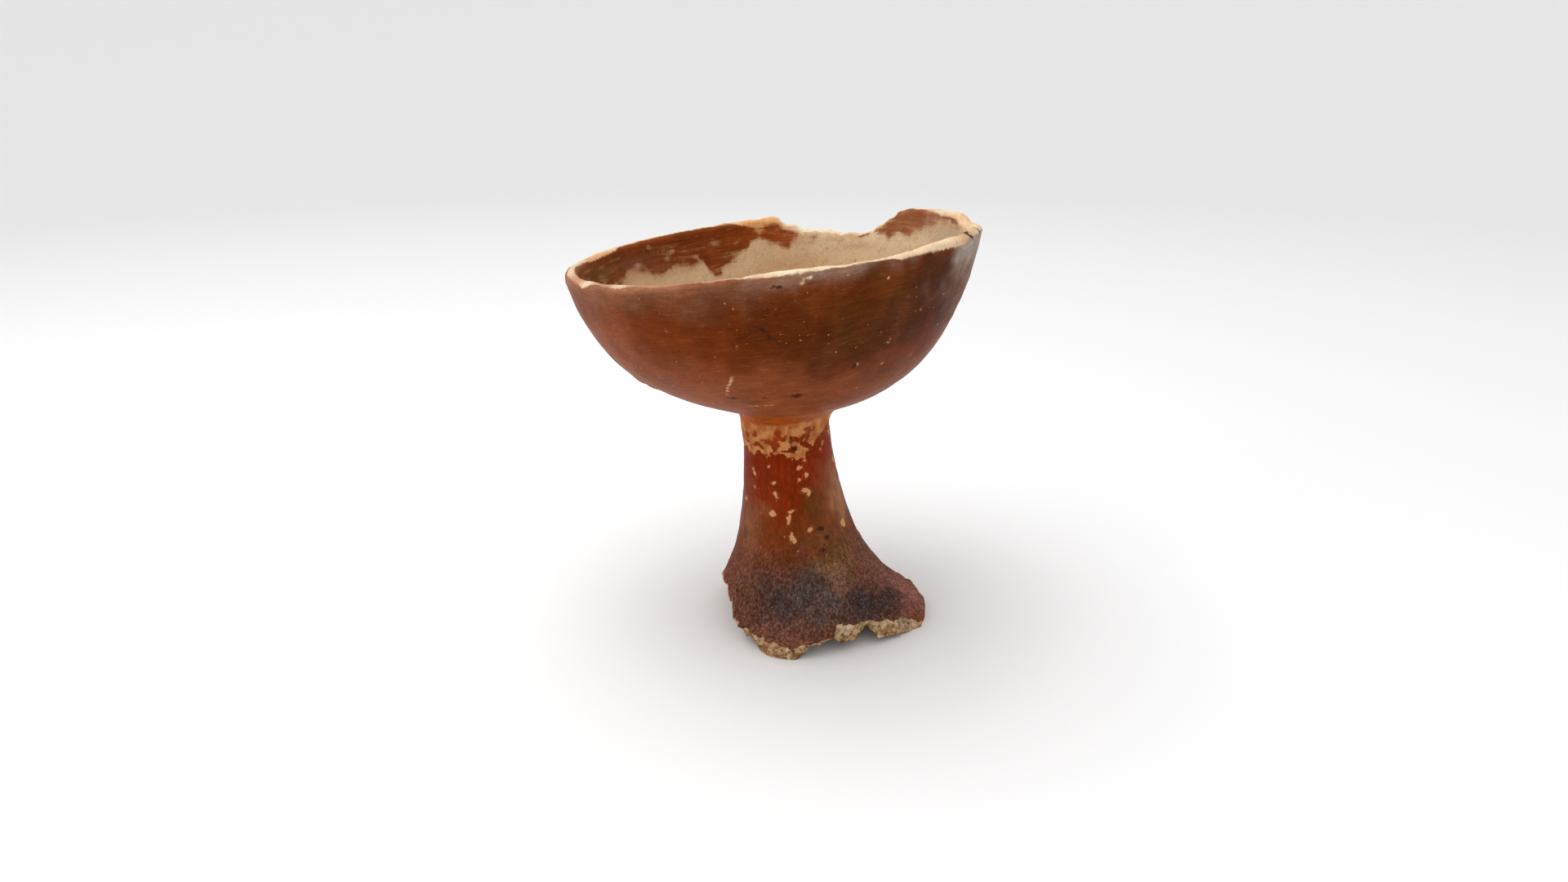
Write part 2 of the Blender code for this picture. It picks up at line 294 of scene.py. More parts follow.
def section(azimuth):
    rows = cup["rows"]
    missing = float(around(cup["rimBreak"], azimuth))
    lipDepth = cup["rimWall"] / 2.0 + missing
    insideDepth = cup["bowlDepth"] - cup["floorWall"]
    inside = bowlLine(azimuth, cup["rimRadius"] - cup["rimWall"], insideDepth, lipDepth)
    inside[-1] = (0.0, cup["rimHeight"] - insideDepth)

    edge = float(around(cup["footBreak"], azimuth))
    outside = bowlLine(azimuth, cup["rimRadius"], cup["bowlDepth"], lipDepth)
    meets = np.nonzero(outside[:, 0] < flareRadius(outside[:, 1]))[0][0]
    heights = np.linspace(outside[meets - 1, 1], edge, cup["traceSteps"])[1:]
    flare = np.column_stack([flareRadius(heights), heights])
    outside = easedLine(np.vstack([outside[:meets], flare]), cup["neckFillet"])
    neck = np.nonzero(outside[:, 1] < cup["neckHeight"])[0][0]

    corner = cornerHeight(azimuth, outside[-1, 0], outside[-1, 1])
    hollow = hollowPoint(np.linspace(corner, cup["hollowShoulder"], cup["traceSteps"]))
    turn = np.linspace(0.0, math.pi / 2.0, cup["traceSteps"])[1:]
    width, shoulder = hollow[-1]
    dome = [width * np.cos(turn), shoulder + (cup["hollowTop"] - shoulder) * np.sin(turn)]
    hollow = np.vstack([hollow, np.column_stack(dome)])
    hollow[-1] = (0.0, cup["hollowTop"])

    middle = (inside[0] + outside[0]) / 2.0
    half = (outside[0, 0] - inside[0, 0]) / 2.0
    turn = np.linspace(0.0, math.pi, rows["lip"] + 2)[1:-1]
    loss = cup["lipLoss"] * ramp(missing, cup["lipLossFrom"])
    crown = half * (1.0 - loss) * np.sin(turn) ** cup["lipPower"]
    lip = np.column_stack([middle[0] - half * np.cos(turn), middle[1] + crown])

    share = np.linspace(0.0, 1.0, rows["face"] + 2)[1:-1, None]
    face = outside[-1] + (hollow[0] - outside[-1]) * share
    return np.vstack([
        spreadLine(inside[::-1], rows["inside"]), lip,
        spreadLine(outside[:neck + 1], rows["bowl"]),
        spreadLine(outside[neck:], rows["stem"] + 1)[1:], face,
        spreadLine(hollow, rows["hollow"]),
    ])


def axisShift(height):
    share = ramp(height, (cup["shiftHigh"], cup["shiftLow"]))
    return (cup["stemSlant"] * height - cup["stemShift"]) * share


def leanOver(points):
    turn = np.array(Euler((-cup["nod"], -cup["lean"], 0.0)).to_matrix())
    return points @ turn.T


# Spinning the section, then moving each point to the section of its own azimuth

def readField(fields, name, parts=1, kind=np.float32):
    values = np.empty(len(fields) * parts, kind)
    fields.foreach_get(name, values)
    return values.reshape(-1, parts).astype(float) if parts > 1 else values


def readPoints(piece):
    return readField(piece.data.vertices, "co", 3)


def writePoints(piece, points):
    piece.data.vertices.foreach_set("co", points.astype(np.float32).ravel())
    piece.data.update()


def storeWhole(piece, name, values):
    layer = piece.data.attributes.new(name, "INT", "POINT")
    layer.data.foreach_set("value", values.astype(np.int32))


def readWhole(piece, name):
    return readField(piece.data.attributes[name].data, "value", kind=np.int32)


def spinSection(name, profile):
    deselectAll()
    bpy.ops.mesh.primitive_plane_add(size=0.001)
    piece = bpy.context.object
    piece.name = name
    startEdit()
    bpy.ops.mesh.merge(type="CENTER")                        # one point, to draw the section from
    radius, height = profile[0]
    bpy.ops.transform.translate(value=(radius, 0.0, height))
    for radius, height in np.diff(profile, axis=0):
        bpy.ops.mesh.extrude_region_move(TRANSFORM_OT_translate={"value": (radius, 0.0, height)})
    endEdit()
    drawn = readPoints(piece)                                # these come in no fixed order
    away = np.hypot(drawn[:, 0, None] - profile[:, 0], drawn[:, 2, None] - profile[:, 1])
    storeWhole(piece, "row", np.argmin(away, axis=1))
    startEdit()
    wedge = 2.0 * math.pi / cup["wedges"]
    steps = cup["steps"] // cup["wedges"]
    bpy.ops.mesh.spin(steps=steps, angle=wedge, center=(0, 0, 0), axis=(0, 0, 1))
    selectAll()
    bpy.ops.mesh.spin(steps=cup["wedges"] - 1, dupli=True, angle=2.0 * math.pi - wedge,
                      center=(0, 0, 0), axis=(0, 0, 1))
    selectAll()
    bpy.ops.mesh.remove_doubles(threshold=cup["weld"])
    bpy.ops.mesh.normals_make_consistent(inside=False)
    endEdit()
    return piece


def rowRegions():
    return np.concatenate([[name] * count for name, count in cup["rows"].items()])


def shapeCup(piece):
    steps = cup["steps"]
    points = readPoints(piece)
    rows = readWhole(piece, "row")
    turn = 2.0 * math.pi / steps
    places = np.round(np.arctan2(points[:, 1], points[:, 0]) / turn).astype(int) % steps
    sections = np.array([section(math.degrees(turn * place)) for place in range(steps)])
    cells = np.array([cup["cells"][name] for name in rowRegions()])
    spacing = np.maximum(sections[:, :, 0].mean(axis=0), cup["poleRadius"]) * turn
    halvings = np.floor(np.log2(np.maximum(cells / spacing, 1.0)))
    halvings = np.clip(halvings, 0, cup["mostHalvings"]).astype(int)
    places = (places >> halvings[rows]) << halvings[rows]    # narrow rows keep fewer points
    radius, height = sections[places, rows].T
    angle = places * turn
    writePoints(piece, np.column_stack([radius * np.cos(angle), radius * np.sin(angle), height]))
    storeWhole(piece, "place", places)
    activate(piece)
    startEdit()
    bpy.ops.mesh.remove_doubles(threshold=cup["weld"])
    endEdit()
    return sections


# Where each point of the skin is: its place on the cup and how far it is from the broken edges

def readSkin(piece, sections):
    rows, places = readWhole(piece, "row"), readWhole(piece, "place")
    lengths = np.array([travelled(line) for line in sections])
    along = lengths[places, rows]

    def awayFrom(row):
        return np.abs(along - lengths[places, row])

    counts = list(cup["rows"].values())
    crown = counts[0] + counts[1] // 2
    edge, corner = sum(counts[:4]) - 1, sum(counts[:5])
    region = rowRegions()[rows]
    azimuth = (np.degrees(places * 2.0 * math.pi / cup["steps"]) + 180.0) % 360.0 - 180.0
    skin = {"region": region, "azimuth": azimuth}
    skin["radius"], skin["height"] = sections[places, rows].T
    skin["fromCrown"] = awayFrom(crown)
    skin["fromEdge"] = awayFrom(edge)
    near = np.minimum(awayFrom(edge), awayFrom(corner))
    skin["broken"] = np.where(region == "face", 1.0, reach(near, "footBreak"))
    missing = reach(around(cup["rimBreak"], azimuth), "rimMissing")
    skin["rimBroken"] = missing * reach(skin["fromCrown"], "rimBreak")
    skin["outside"] = np.isin(region, ("bowl", "stem")) | (rows > crown) & (region == "lip")
    skin["rough"] = reach(skin["height"], "roughFoot") * (region == "stem")
    return skin


def pattern(points, size, octaves, shift):
    offset = Vector((shift, 2.0 * shift, -shift))
    scaled = points / np.asarray(size)
    return np.array([noise.fractal(Vector(point) + offset, 1.0, 2.0, octaves) for point in scaled])


def waves(points, name):
    size, depth, octaves, shift = patterns[name]
    return depth * pattern(points, size, octaves, shift)


def crumble(points, weight, name):
    size, depth, octaves, shift = patterns[name]
    moved = np.zeros_like(points)
    for index in np.nonzero(weight > relief["least"])[0]:
        place = Vector(points[index]) / size + Vector((shift, shift, shift))
        moved[index] = noise.turbulence_vector(place, octaves, False)
    return depth * moved * weight[:, None]


def addRelief(piece, skin):
    points = readPoints(piece)
    normals = readField(piece.data.vertex_normals, "vector", 3)
    turn = np.radians(skin["azimuth"])
    outward = np.column_stack([np.cos(turn), np.sin(turn), np.zeros_like(turn)])
    region = skin["region"]
    bowlish = np.isin(region, ("inside", "lip", "bowl"))
    footish = ~bowlish & (region != "hollow")
    scraped = 1.0 * (region == "stem") + relief["hollowScraping"] * (region == "hollow")

    # both sides of the bowl's wall move together
    sideways = waves(points, "handWaves") * bowlish
    sideways += waves(points, "footLumps") * reach(skin["height"], "footLumps") * footish
    moved = outward * (sideways * reach(skin["radius"], "awayFromPoles"))[:, None]
    raised = around(cup["rimRise"], skin["azimuth"]) * bowlish
    moved[:, 2] += raised * ramp(cup["rimHeight"] - skin["height"], cup["rimRiseFrom"])

    rise = waves(points, "burnish") * (region == "bowl")
    rise += waves(points, "wiping") * (region == "inside")
    rise += waves(points, "scraping") * scraped
    folds = relief["wrinkleCrest"] - np.abs(waves(points, "wrinkles"))
    rise += folds * skin["rough"] * (1.0 - relief["wrinkleLoss"] * skin["broken"])
    rise -= relief["flakeDepth"] * reach(skin["wear"], "flaked") * skin["outside"]
    moved += normals * rise[:, None]

    lip = relief["lipCrumble"] + relief["rimCrumble"] * skin["rimBroken"]
    moved += crumble(points, lip * reach(skin["fromCrown"], "lipWear") * bowlish, "lipWear")
    rough = skin["broken"] * around(relief["breakRough"], skin["azimuth"])
    rough = np.maximum(rough, skin["rimBroken"] * relief["rimRough"])
    moved += crumble(points, rough, "breakLumps") + crumble(points, rough, "breakGrain")
    for azimuth, height, size, depth in cup["chips"]:
        away = np.linalg.norm(points - surfacePoint(azimuth, height), axis=1)
        ragged = 1.0 + cup["chipFrill"] * pattern(points, size, *relief["chips"])
        bite = ramp(away / size * ragged, cup["chipEdge"])
        moved -= normals[np.argmin(away)] * (depth * bite)[:, None]
    return points + moved


def surfacePoint(azimuth, height):
    line = section(azimuth)
    counts = list(cup["rows"].values())
    outer = line[counts[0] + counts[1] // 2:sum(counts[:4])]
    radius = outer[np.argmin(np.abs(outer[:, 1] - height)), 0]
    turn = math.radians(azimuth)
    return np.array([radius * math.cos(turn), radius * math.sin(turn), height])


def standOnTable(points):
    points = points.copy()
    points[:, 0] += axisShift(points[:, 2])
    return leanOver(points)


def tableOffset(plain):
    low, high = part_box("pedestal_cup")
    middle = (plain.min(axis=0) + plain.max(axis=0)) / 2.0
    offset = (np.array(low) + np.array(high)) / 2.0 - middle
    offset[2] = low.z + cup["tableBelowDatum"]
    return offset


def cutAtTable(piece, height):
    activate(piece)
    startEdit()
    bpy.ops.mesh.bisect(plane_co=(0, 0, height), plane_no=(0, 0, 1), use_fill=True,
                        clear_inner=True, threshold=cup["cutReach"])
    selectAll()
    bpy.ops.mesh.remove_doubles(threshold=cup["cutWeld"])
    selectAll()
    bpy.ops.mesh.quads_convert_to_tris(quad_method="BEAUTY", ngon_method="BEAUTY")
    endEdit()


# Finish: which clay and slip shows where. Places are azimuth in degrees and height in millimetres.
finish = {
    "tones": {                     # as seen on a screen
        "orange": (170, 76, 18), "orangeBrown": (120, 50, 4), "rosy": (138, 73, 42),
        "redBrown": (114, 46, 8), "innerBrown": (130, 62, 22), "deepRed": (126, 36, 0),
        # bloom is pale dust in scratches and also painted sheen and highlights; ashen is only painted
        # sheen and glare
        "umber": (64, 26, 0), "olive": (98, 56, 16), "bloom": (165, 138, 118),
        "ashen": (172, 160, 148), "plum": (102, 64, 48), "brick": (112, 61, 45), "soot": (54, 47, 48),
        "smoke": (78, 66, 62), "ashenPink": (160, 120, 104), "rosyPale": (176, 122, 92),
        "goldPeach": (222, 164, 104), "stoneGrey": (172, 156, 136), "taupe": (160, 112, 78),
        "moss": (104, 76, 38), "rose": (134, 86, 76), "darkBrown": (52, 27, 22),
        "earth": (96, 66, 43), "flake": (208, 148, 102), "copper": (158, 88, 44),
        "straw": (230, 199, 157), "cream": (232, 214, 182), "peach": (222, 172, 130),
        "buff": (198, 134, 80), "greyCream": (195, 164, 128), "sand": (182, 145, 103),
        "rust": (150, 92, 48), "tan": (168, 128, 92),
    },
    "outsideBands": (              # height, tone of the slip
        (-5, "brick"), (10, "plum"), (26, "plum"), (40, "redBrown"), (56, "deepRed"), (76, "deepRed"),
        (86, "orange"), (93, "rosy"), (108, "rosy"), (124, "orangeBrown"), (147, "orangeBrown"),
    ),
    "outsideDabs": (               # tone, azimuth, height, reach round, reach up, strength
        ("rosy", -152, 124, 22, 20, 0.8), ("rosyPale", -128, 142, 16, 3, 0.5),
        # The bloom dabs on the lip's front are dust with a painted highlight, and the ashen dab at -70
        # is a painted glare on the lip.
        ("umber", -120, 142, 26, 7, 0.5), ("bloom", -88, 145, 13, 2.4, 0.5),
        ("bloom", -98, 141, 10, 5, 0.2), ("ashen", -70, 145.4, 10, 1.8, 0.6),
        ("rosyPale", -135, 147, 36, 3, 0.6), ("umber", -62, 120, 30, 17, 0.9),
        ("umber", -42, 124, 24, 20, 0.85), ("umber", -100, 128, 18, 10, 0.35),
        ("umber", -84, 132, 12, 9, 0.45), ("orangeBrown", -34, 110, 30, 8, 0.6),
        ("olive", -62, 137, 15, 8, 0.6), ("olive", -68, 125, 9, 6, 0.3),
        # The ashen dabs at -22 and -30 are a painted reflection along the bowl's right edge.
        ("umber", -46, 137, 11, 7, 0.85), ("ashen", -22, 142, 12, 9, 0.85),
        ("ashen", -30, 144, 6, 3, 0.5), ("olive", -18, 130, 12, 10, 0.6),
        ("rosy", -80, 104, 40, 9, 0.5), ("umber", 120, 128, 36, 16, 0.6),
        ("olive", 60, 112, 30, 14, 0.4), ("rosy", 40, 96, 60, 8, 0.6),
        ("rosyPale", -58, 87, 28, 5, 0.5), ("olive", -68, 50, 16, 7, 0.95),
        # The taupe dab at -28 is the greyish slip with a painted sheen on the right side of the stem.
        ("olive", -100, 42, 30, 5, 0.3), ("taupe", -28, 50, 22, 12, 0.85),
        ("taupe", -150, 44, 24, 10, 0.5), ("moss", -56, 31, 20, 8, 0.6), ("tan", -66, 22, 9, 8, 0.42),
        ("umber", -110, 30, 26, 5, 0.4), ("brick", -170, 26, 26, 14, 0.8),
        ("rose", -2, 4, 18, 9, 0.95), ("rose", -20, 14, 12, 6, 0.4), ("soot", -108, 19, 26, 7, 0.7),
        ("soot", -84, 18, 22, 8, 0.85), ("soot", -48, 11, 20, 6.5, 0.95),
        ("soot", -28, 8, 12, 5, 0.75), ("smoke", -74, 19, 12, 7, 0.8), ("smoke", 130, 12, 34, 9, 0.7),
    ),
    "clayDabs": (                  # on bare clay
        ("rosyPale", -150, 147, 30, 5, 0.85), ("rosyPale", -115, 147, 20, 5, 0.95),
        ("cream", -145, 146, 4, 3, 0.9), ("cream", -173, 146, 15, 4, 0.8),
        ("cream", 68, 141, 10, 6, 0.9), ("cream", -131, 146, 2.5, 3, 0.9),
        ("cream", -86, 147, 13, 4, 0.95), ("cream", -52, 147, 16, 4, 0.5),
        ("cream", -28, 147, 26, 4, 0.5), ("goldPeach", -33, 147, 7, 3, 0.35),
        ("goldPeach", 96, 146, 7, 5, 0.95), ("goldPeach", 160, 147, 14, 4, 0.7),
        ("goldPeach", 4, 146, 26, 4, 0.35), ("rust", 146, 136, 12, 2.5, 0.45),
        ("rust", 128, 133, 10, 1.6, 0.35), ("cream", 42, 134, 24, 6, 0.45),
        ("rust", -27, 147, 6, 4, 0.5), ("stoneGrey", 8, 138, 20, 5, 0.7),
        ("tan", 84, 128, 16, 4, 0.5), ("rust", 98, 123, 22, 5, 0.3), ("rust", 60, 133, 9, 1.4, 0.4),
        ("rust", 76, 136, 12, 1.2, 0.35), ("tan", 30, 130, 16, 3, 0.5),
        ("stoneGrey", -120, 118, 50, 12, 0.5), ("tan", 150, 106, 44, 9, 0.45),
        ("stoneGrey", 0, 93, 90, 6, 0.7), ("rust", -60, 101, 24, 4, 0.35),
        ("rust", 60, 95, 30, 3, 0.3), ("rust", -120, 3, 16, 3, 0.5), ("umber", -92, 1, 20, 2, 0.4),
        ("cream", -64, 7, 8, 4, 0.5), ("rust", -38, 0, 12, 2, 0.45),
        ("stoneGrey", -24, 0, 10, 4, 0.7),
    ),
    "insideDabs": (
        ("olive", 163, 142, 12, 4, 0.6), ("rosyPale", 148, 139, 9, 2.4, 0.55),
        ("rosyPale", 134, 134, 7, 1.6, 0.4), ("umber", 122, 143, 10, 2, 0.5),
        ("redBrown", 116, 133, 9, 5, 0.8), ("orange", 84, 140, 12, 4, 0.6),
        ("umber", 150, 140, 22, 6, 0.35), ("taupe", 42, 140, 26, 12, 0.5),
        ("umber", -100, 138, 60, 6, 0.3), ("moss", 176, 139, 14, 6, 0.6),
        ("rosyPale", 19, 142, 20, 6, 0.45), ("ashenPink", 30, 143, 0.9, 4, 0.8),
        ("ashenPink", 26, 144, 0.8, 4, 0.85), ("ashenPink", 22.5, 143, 1.0, 5, 0.8),
        ("ashenPink", 17.3, 143, 0.9, 4, 0.75), ("ashenPink", 10.6, 142, 1.5, 4, 0.7),
        ("ashenPink", 6.4, 140, 1.6, 3, 0.6), ("ashenPink", 2, 141, 2.4, 4, 0.6),
    ),
    "insideFlakes": (              # bare spots in the slip inside the rim
        (137.2, 143.6, 1.1, 0.8, 20), (144.2, 138.2, 1.3, 0.7, 0), (120.1, 136.2, 0.9, 0.7, 0),
        (111.8, 139.5, 1.2, 0.6, 10), (95.8, 142.0, 1.5, 0.9, 20), (104.5, 137.6, 0.8, 0.6, 0),
        (128.4, 140.2, 0.8, 0.6, 0), (150, 134.6, 1.6, 0.6, 0), (131, 138.2, 0.7, 0.5, 0),
        (-60, 139.6, 1.3, 0.7, 0), (-118, 141, 1.5, 0.7, 0), (-84, 139, 0.9, 0.7, 0),
        (-150, 142, 1.1, 0.8, 0),
    ),
    "insideEdge": (                # azimuth, height down to which the inside is slipped
        (-178, 140), (-165, 137), (-150, 140), (-128, 136), (-104, 139), (-82, 134.5), (-60, 138),
        (-34, 136), (-12, 141), (5, 142.7), (15, 143.3), (22, 142.6), (28, 141.3), (33, 140),
        (38, 137.8), (45, 136.6), (57, 137.2), (65, 137.5), (72, 138.5), (80, 138.6), (84.7, 137.4),
        (86.4, 134.7), (88.3, 134.6), (90.1, 137), (93, 137.9), (99.3, 139.8), (101.3, 136.5),
        (106, 132.8), (109.2, 130.1), (113.4, 128), (116.3, 129.3), (118, 133.8), (120, 134.4),
        (125, 133.9), (130, 134.6), (132, 134.2), (134.6, 132.3), (138, 132.8), (142, 135.7),
        (146.4, 137.7), (151.6, 136.8), (157, 133.9), (166, 136),
    ),
    "rimWear": (                   # azimuth, width of the worn band over the lip
        (-176, 1.0), (-165, 1.4), (-152, 1.6), (-146, 3.0), (-139, 0.6), (-131, 1.8), (-126, 0.5),
        (-118, 1.3), (-112, 0.5), (-104, 0.6), (-99, 0.8), (-95, 1.6), (-88, 2.4), (-80, 2.1),
        (-74, 1.5), (-68, 0.9), (-62, 1.1), (-57, 2.4), (-50, 3.0), (-44, 3.8), (-34, 4.6),
        (-28, 2.6), (-20, 2.8), (-10, 3.4), (5, 3.6), (20, 3.2), (33, 1.1), (44, 0.8), (50, 1.8),
        (60, 1.4), (75, 1.4), (86, 1.8), (90, 3.6), (97, 4.8), (101, 3.2), (105, 1.4), (118, 0.9),
        (135, 0.8), (148, 0.8), (154, 2.4), (165, 2.8), (175, 1.6),
    ),
    "breakBare": (                 # azimuth, how far clay shows on the rim's break
        (-178, 0.004), (40, 0.004), (44, 0.0016), (58, 0.0014), (63, 0.003), (68, 0.004),
    ),
    "bareEdge": (                  # azimuth, width of the bare edge of the foot
        (-176, 0.45), (-140, 0.5), (-124, 0.1), (-104, 0.0), (-96, 0.3), (-74, -0.1), (-60, 0.1),
        (-40, 0.0), (-30, 0.3), (-20, -2.0), (20, -2.0), (36, 0.1), (100, 0.4), (150, 0.2),
    ),
    "wrappedEdge": (               # azimuth, how far the slip runs down over the break
        (-176, 0.0), (-34, 0.0), (-24, 0.7), (-17, 2.4), (-10, 6.0), (12, 6.0), (24, 0.6), (32, 0.0),
        (120, 0.0),
    ),
    "collarTop": 83.6,
    "collarLow": (
        (-176, 71.5), (-154, 73.1), (-141, 70.7), (-128, 72.8), (-116, 70.4), (-101, 72), (-87, 70.3),
        (-76, 69.1), (-65, 70.9), (-53, 71.2), (-44, 75.5), (-28, 75), (-10, 72), (12, 74),
        (40, 70.5), (66, 73.5), (90, 71), (120, 74), (150, 70.5),
    ),
    "collarBlots": (               # azimuth, height, half width, half height, turn
        (-100, 80.2, 1.5, 2.0, 20), (-104, 75.8, 1.4, 2.9, -12), (-96, 77.6, 1.1, 1.6, 40),
        (-132, 75.6, 1.1, 1.0, 0), (-83, 77.8, 0.9, 1.4, 0), (-69, 76.8, 2.3, 0.9, 30),
        (-60, 78.4, 2.2, 0.8, 26), (-68, 74.2, 1.2, 0.7, 34), (-148, 79, 0.5, 3.0, 14),
        (-43, 74.6, 1.1, 1.4, 30), (-136, 79.4, 0.5, 1.6, 30), (-20, 78, 1.8, 1.2, 20),
        (10, 77, 2.2, 1.4, -10), (36, 79, 1.2, 2.2, 12), (64, 77.4, 2.4, 1.0, 30),
        (96, 78, 1.6, 2.4, -20), (124, 79.6, 1.4, 1.2, 0), (152, 76.5, 2.2, 1.4, 24),
        (172, 79.8, 1.0, 1.8, -30),
    ),
    "flakes": (                    # bare spots on the stem and a few on the bowl
        (-82.4, 143.9, 0.9, 0.4, 20), (-81, 144.6, 0.5, 0.3, 0), (-69.2, 69.6, 0.55, 1.5, 0),
        (-77.1, 65.8, 1.0, 0.65, 15), (-68.9, 62.6, 0.65, 0.95, -10), (-77.7, 61.2, 0.6, 0.45, 0),
        (-109.2, 61.1, 0.8, 0.5, 0), (-138.8, 64.4, 0.5, 1.3, 30), (-115.7, 67.2, 0.5, 0.4, 0),
        (-71.7, 56.6, 1.75, 0.8, 0), (-69.5, 55.6, 0.75, 1.2, 0), (-112.8, 49.2, 1.35, 1.05, 25),
        (-108.6, 56.3, 0.6, 1.3, 20), (-91.2, 49.6, 1.0, 0.45, 20), (-94.6, 46.9, 0.6, 1.35, -10),
        (-92.6, 40.2, 0.9, 1.35, 0), (-90.4, 39.0, 0.7, 0.7, 0), (-73.4, 42.0, 0.9, 0.8, 40),
        (-29.6, 39.5, 1.7, 1.3, 0), (-139.1, 58.5, 0.45, 0.4, 0), (-36, 72.6, 0.6, 1.0, 30),
        (-43, 70.4, 0.6, 0.4, 0), (-12, 63, 0.9, 1.4, 0), (20, 58, 1.2, 0.7, 0),
        (44, 66, 0.8, 1.6, 10), (70, 52, 1.4, 1.0, 0), (84, 61, 0.7, 0.9, 0), (118, 56, 1.1, 1.5, 20),
        (140, 66, 0.9, 0.6, 0), (158, 47, 1.2, 0.9, 0), (60, 40, 0.9, 1.2, 0),
        (-160, 52, 0.7, 0.8, 0), (-48, 127.3, 0.5, 0.3, 30), (-53.9, 133.3, 0.35, 0.35, 0),
        (-57.8, 119.3, 0.5, 0.3, 0), (-67.1, 113.1, 0.35, 0.5, 20), (-56.9, 111.3, 0.45, 0.3, 0),
        (-80.3, 132.2, 0.3, 0.3, 0), (-100.5, 126, 0.3, 0.3, 0), (-118, 133, 0.35, 0.3, 0),
        (-36, 118, 0.4, 0.3, 20), (-44, 110, 0.3, 0.4, 0),
    ),
    "scratches": (                 # azimuth and height of both ends, half width
        (-104.6, 115.2, -111.2, 106.2, 0.42), (-126.7, 101.4, -115.6, 101.6, 0.25),
        (-107.6, 100.3, -95.6, 99.6, 0.35), (-50.2, 34.5, -46.6, 33.5, 0.16),
        (-141, 118, -137, 117, 0.2), (64, 120, 70, 110, 0.3), (150, 112, 158, 110, 0.25),
    ),
    "soots": (                     # small dark marks on the slip
        (-86.6, 103.8, 1.9, 0.9, 10), (-67.7, 112.9, 0.6, 1.3, -20), (-109.7, 104.7, 1.9, 0.6, 0),
        (-93.2, 131.2, 1.3, 0.8, -25), (-92, 128.6, 0.5, 1.0, 0), (-91.5, 136.2, 0.6, 0.9, 20),
        (-88.6, 142.6, 1.6, 0.8, 0), (-98, 104, 0.8, 0.5, 0), (-61.9, 41.4, 1.5, 0.9, -15),
        (-57.5, 37.8, 1.0, 0.9, 0), (-64.5, 33.8, 1.2, 0.8, 0), (-62, 35.8, 0.4, 0.3, 0),
        (-80.9, 73.4, 1.0, 0.8, 0), (-83.5, 76.6, 0.7, 1.2, 0), (30, 124, 1.6, 0.9, 20),
        (104, 118, 2.4, 1.2, -10), (164, 122, 1.2, 1.6, 0), (-26.5, 146.6, 2.3, 1.5, 15),
        (-19, 145.6, 0.8, 1.6, 10),
    ),
    "insideSoots": (
        (76, 132, 0.5, 0.6, 0), (102, 126.5, 0.9, 0.5, 20), (60, 127, 0.6, 0.4, 0),
        (33, 133, 0.5, 0.6, 0), (-140, 108, 1.6, 0.9, 30), (-30, 96, 1.2, 1.0, 0),
        (140, 98, 0.9, 1.3, 0), (-95, 124, 0.7, 0.5, 0),
    ),
    "clayTones": {"inside": "greyCream", "lip": "buff", "bowl": "buff", "stem": "buff",
                  "face": "sand", "hollow": "tan"},
    "stemClay": 0.9,                # strengths
    "footClay": 0.9,
    "mottle": 0.75,
    "hollowDabs": 0.3,
    "bandWarp": 0.6,
    "clayWarp": ((0.4,), (0.3,)),   # round and up
    "smallDab": 12.0,               # smaller ones are warped less
    "scratchClimb": 1.3,
    "scratchTaper": 0.5,
    "collarSlant": (0.9, 0.5, 0.0),
    "remainsMore": 0.00065,         # wear from here on in metres
    "collarRimMore": 0.003,
    "flakesMore": 0.0001,
    "leastWrap": 0.0001,
    "wrapSteepness": 4.0,
    "breakSlip": 0.001,
    "mostWear": 0.004,
    "allBare": 0.0039,
    "farOff": -1.0,
    "sootOverLip": 0.004,
    "footSoft": 0.004,              # distance from the edge
    "collarSoft": (0.0805, 0.090),  # heights
    # how gradual the slip's edge is, in mm
    "softness": {"slip": 0.13, "foot": 0.24, "inside": 1.0, "collar": 0.8, "lip": 0.5},
}


def tone(name):
    return toLinear(*finish["tones"][name])


def aroundCup(skin, azimuth):
    return (skin["azimuth"] - azimuth + 180.0) % 360.0 - 180.0


def awayFromSpot(skin, azimuth, height):   # in mm, round and up
    side = np.radians(aroundCup(skin, azimuth)) * skin["radius"] * inMm
    return side, skin["height"] * inMm - height


def spotField(skin, name):
    best = np.full(len(skin["azimuth"]), finish["farOff"])
    for azimuth, height, wide, tall, turn in finish[name]:
        side, rise = awayFromSpot(skin, azimuth, height)
        cosine, sine = math.cos(math.radians(turn)), math.sin(math.radians(turn))
        across = (side * cosine + rise * sine) / wide
        upward = (rise * cosine - side * sine) / tall
        best = np.maximum(best, (1.0 - np.hypot(across, upward)) * min(wide, tall) / inMm)
    return best


def scratchField(skin, name):
    best = np.full(len(skin["azimuth"]), finish["farOff"])
    for startTurn, startHeight, endTurn, endHeight, half in finish[name]:
        side, rise = awayFromSpot(skin, startTurn, startHeight)
        rise = rise * finish["scratchClimb"]
        away = math.radians(endTurn - startTurn) * skin["radius"] * inMm
        climb = (endHeight - startHeight) * finish["scratchClimb"]
        share = np.clip((side * away + rise * climb) / (away ** 2 + climb ** 2), 0.0, 1.0)
        gap = np.hypot(side - share * away, rise - share * climb)
        width = half * (1.0 - finish["scratchTaper"] * share)
        best = np.maximum(best, (width - gap) / inMm)
    return best


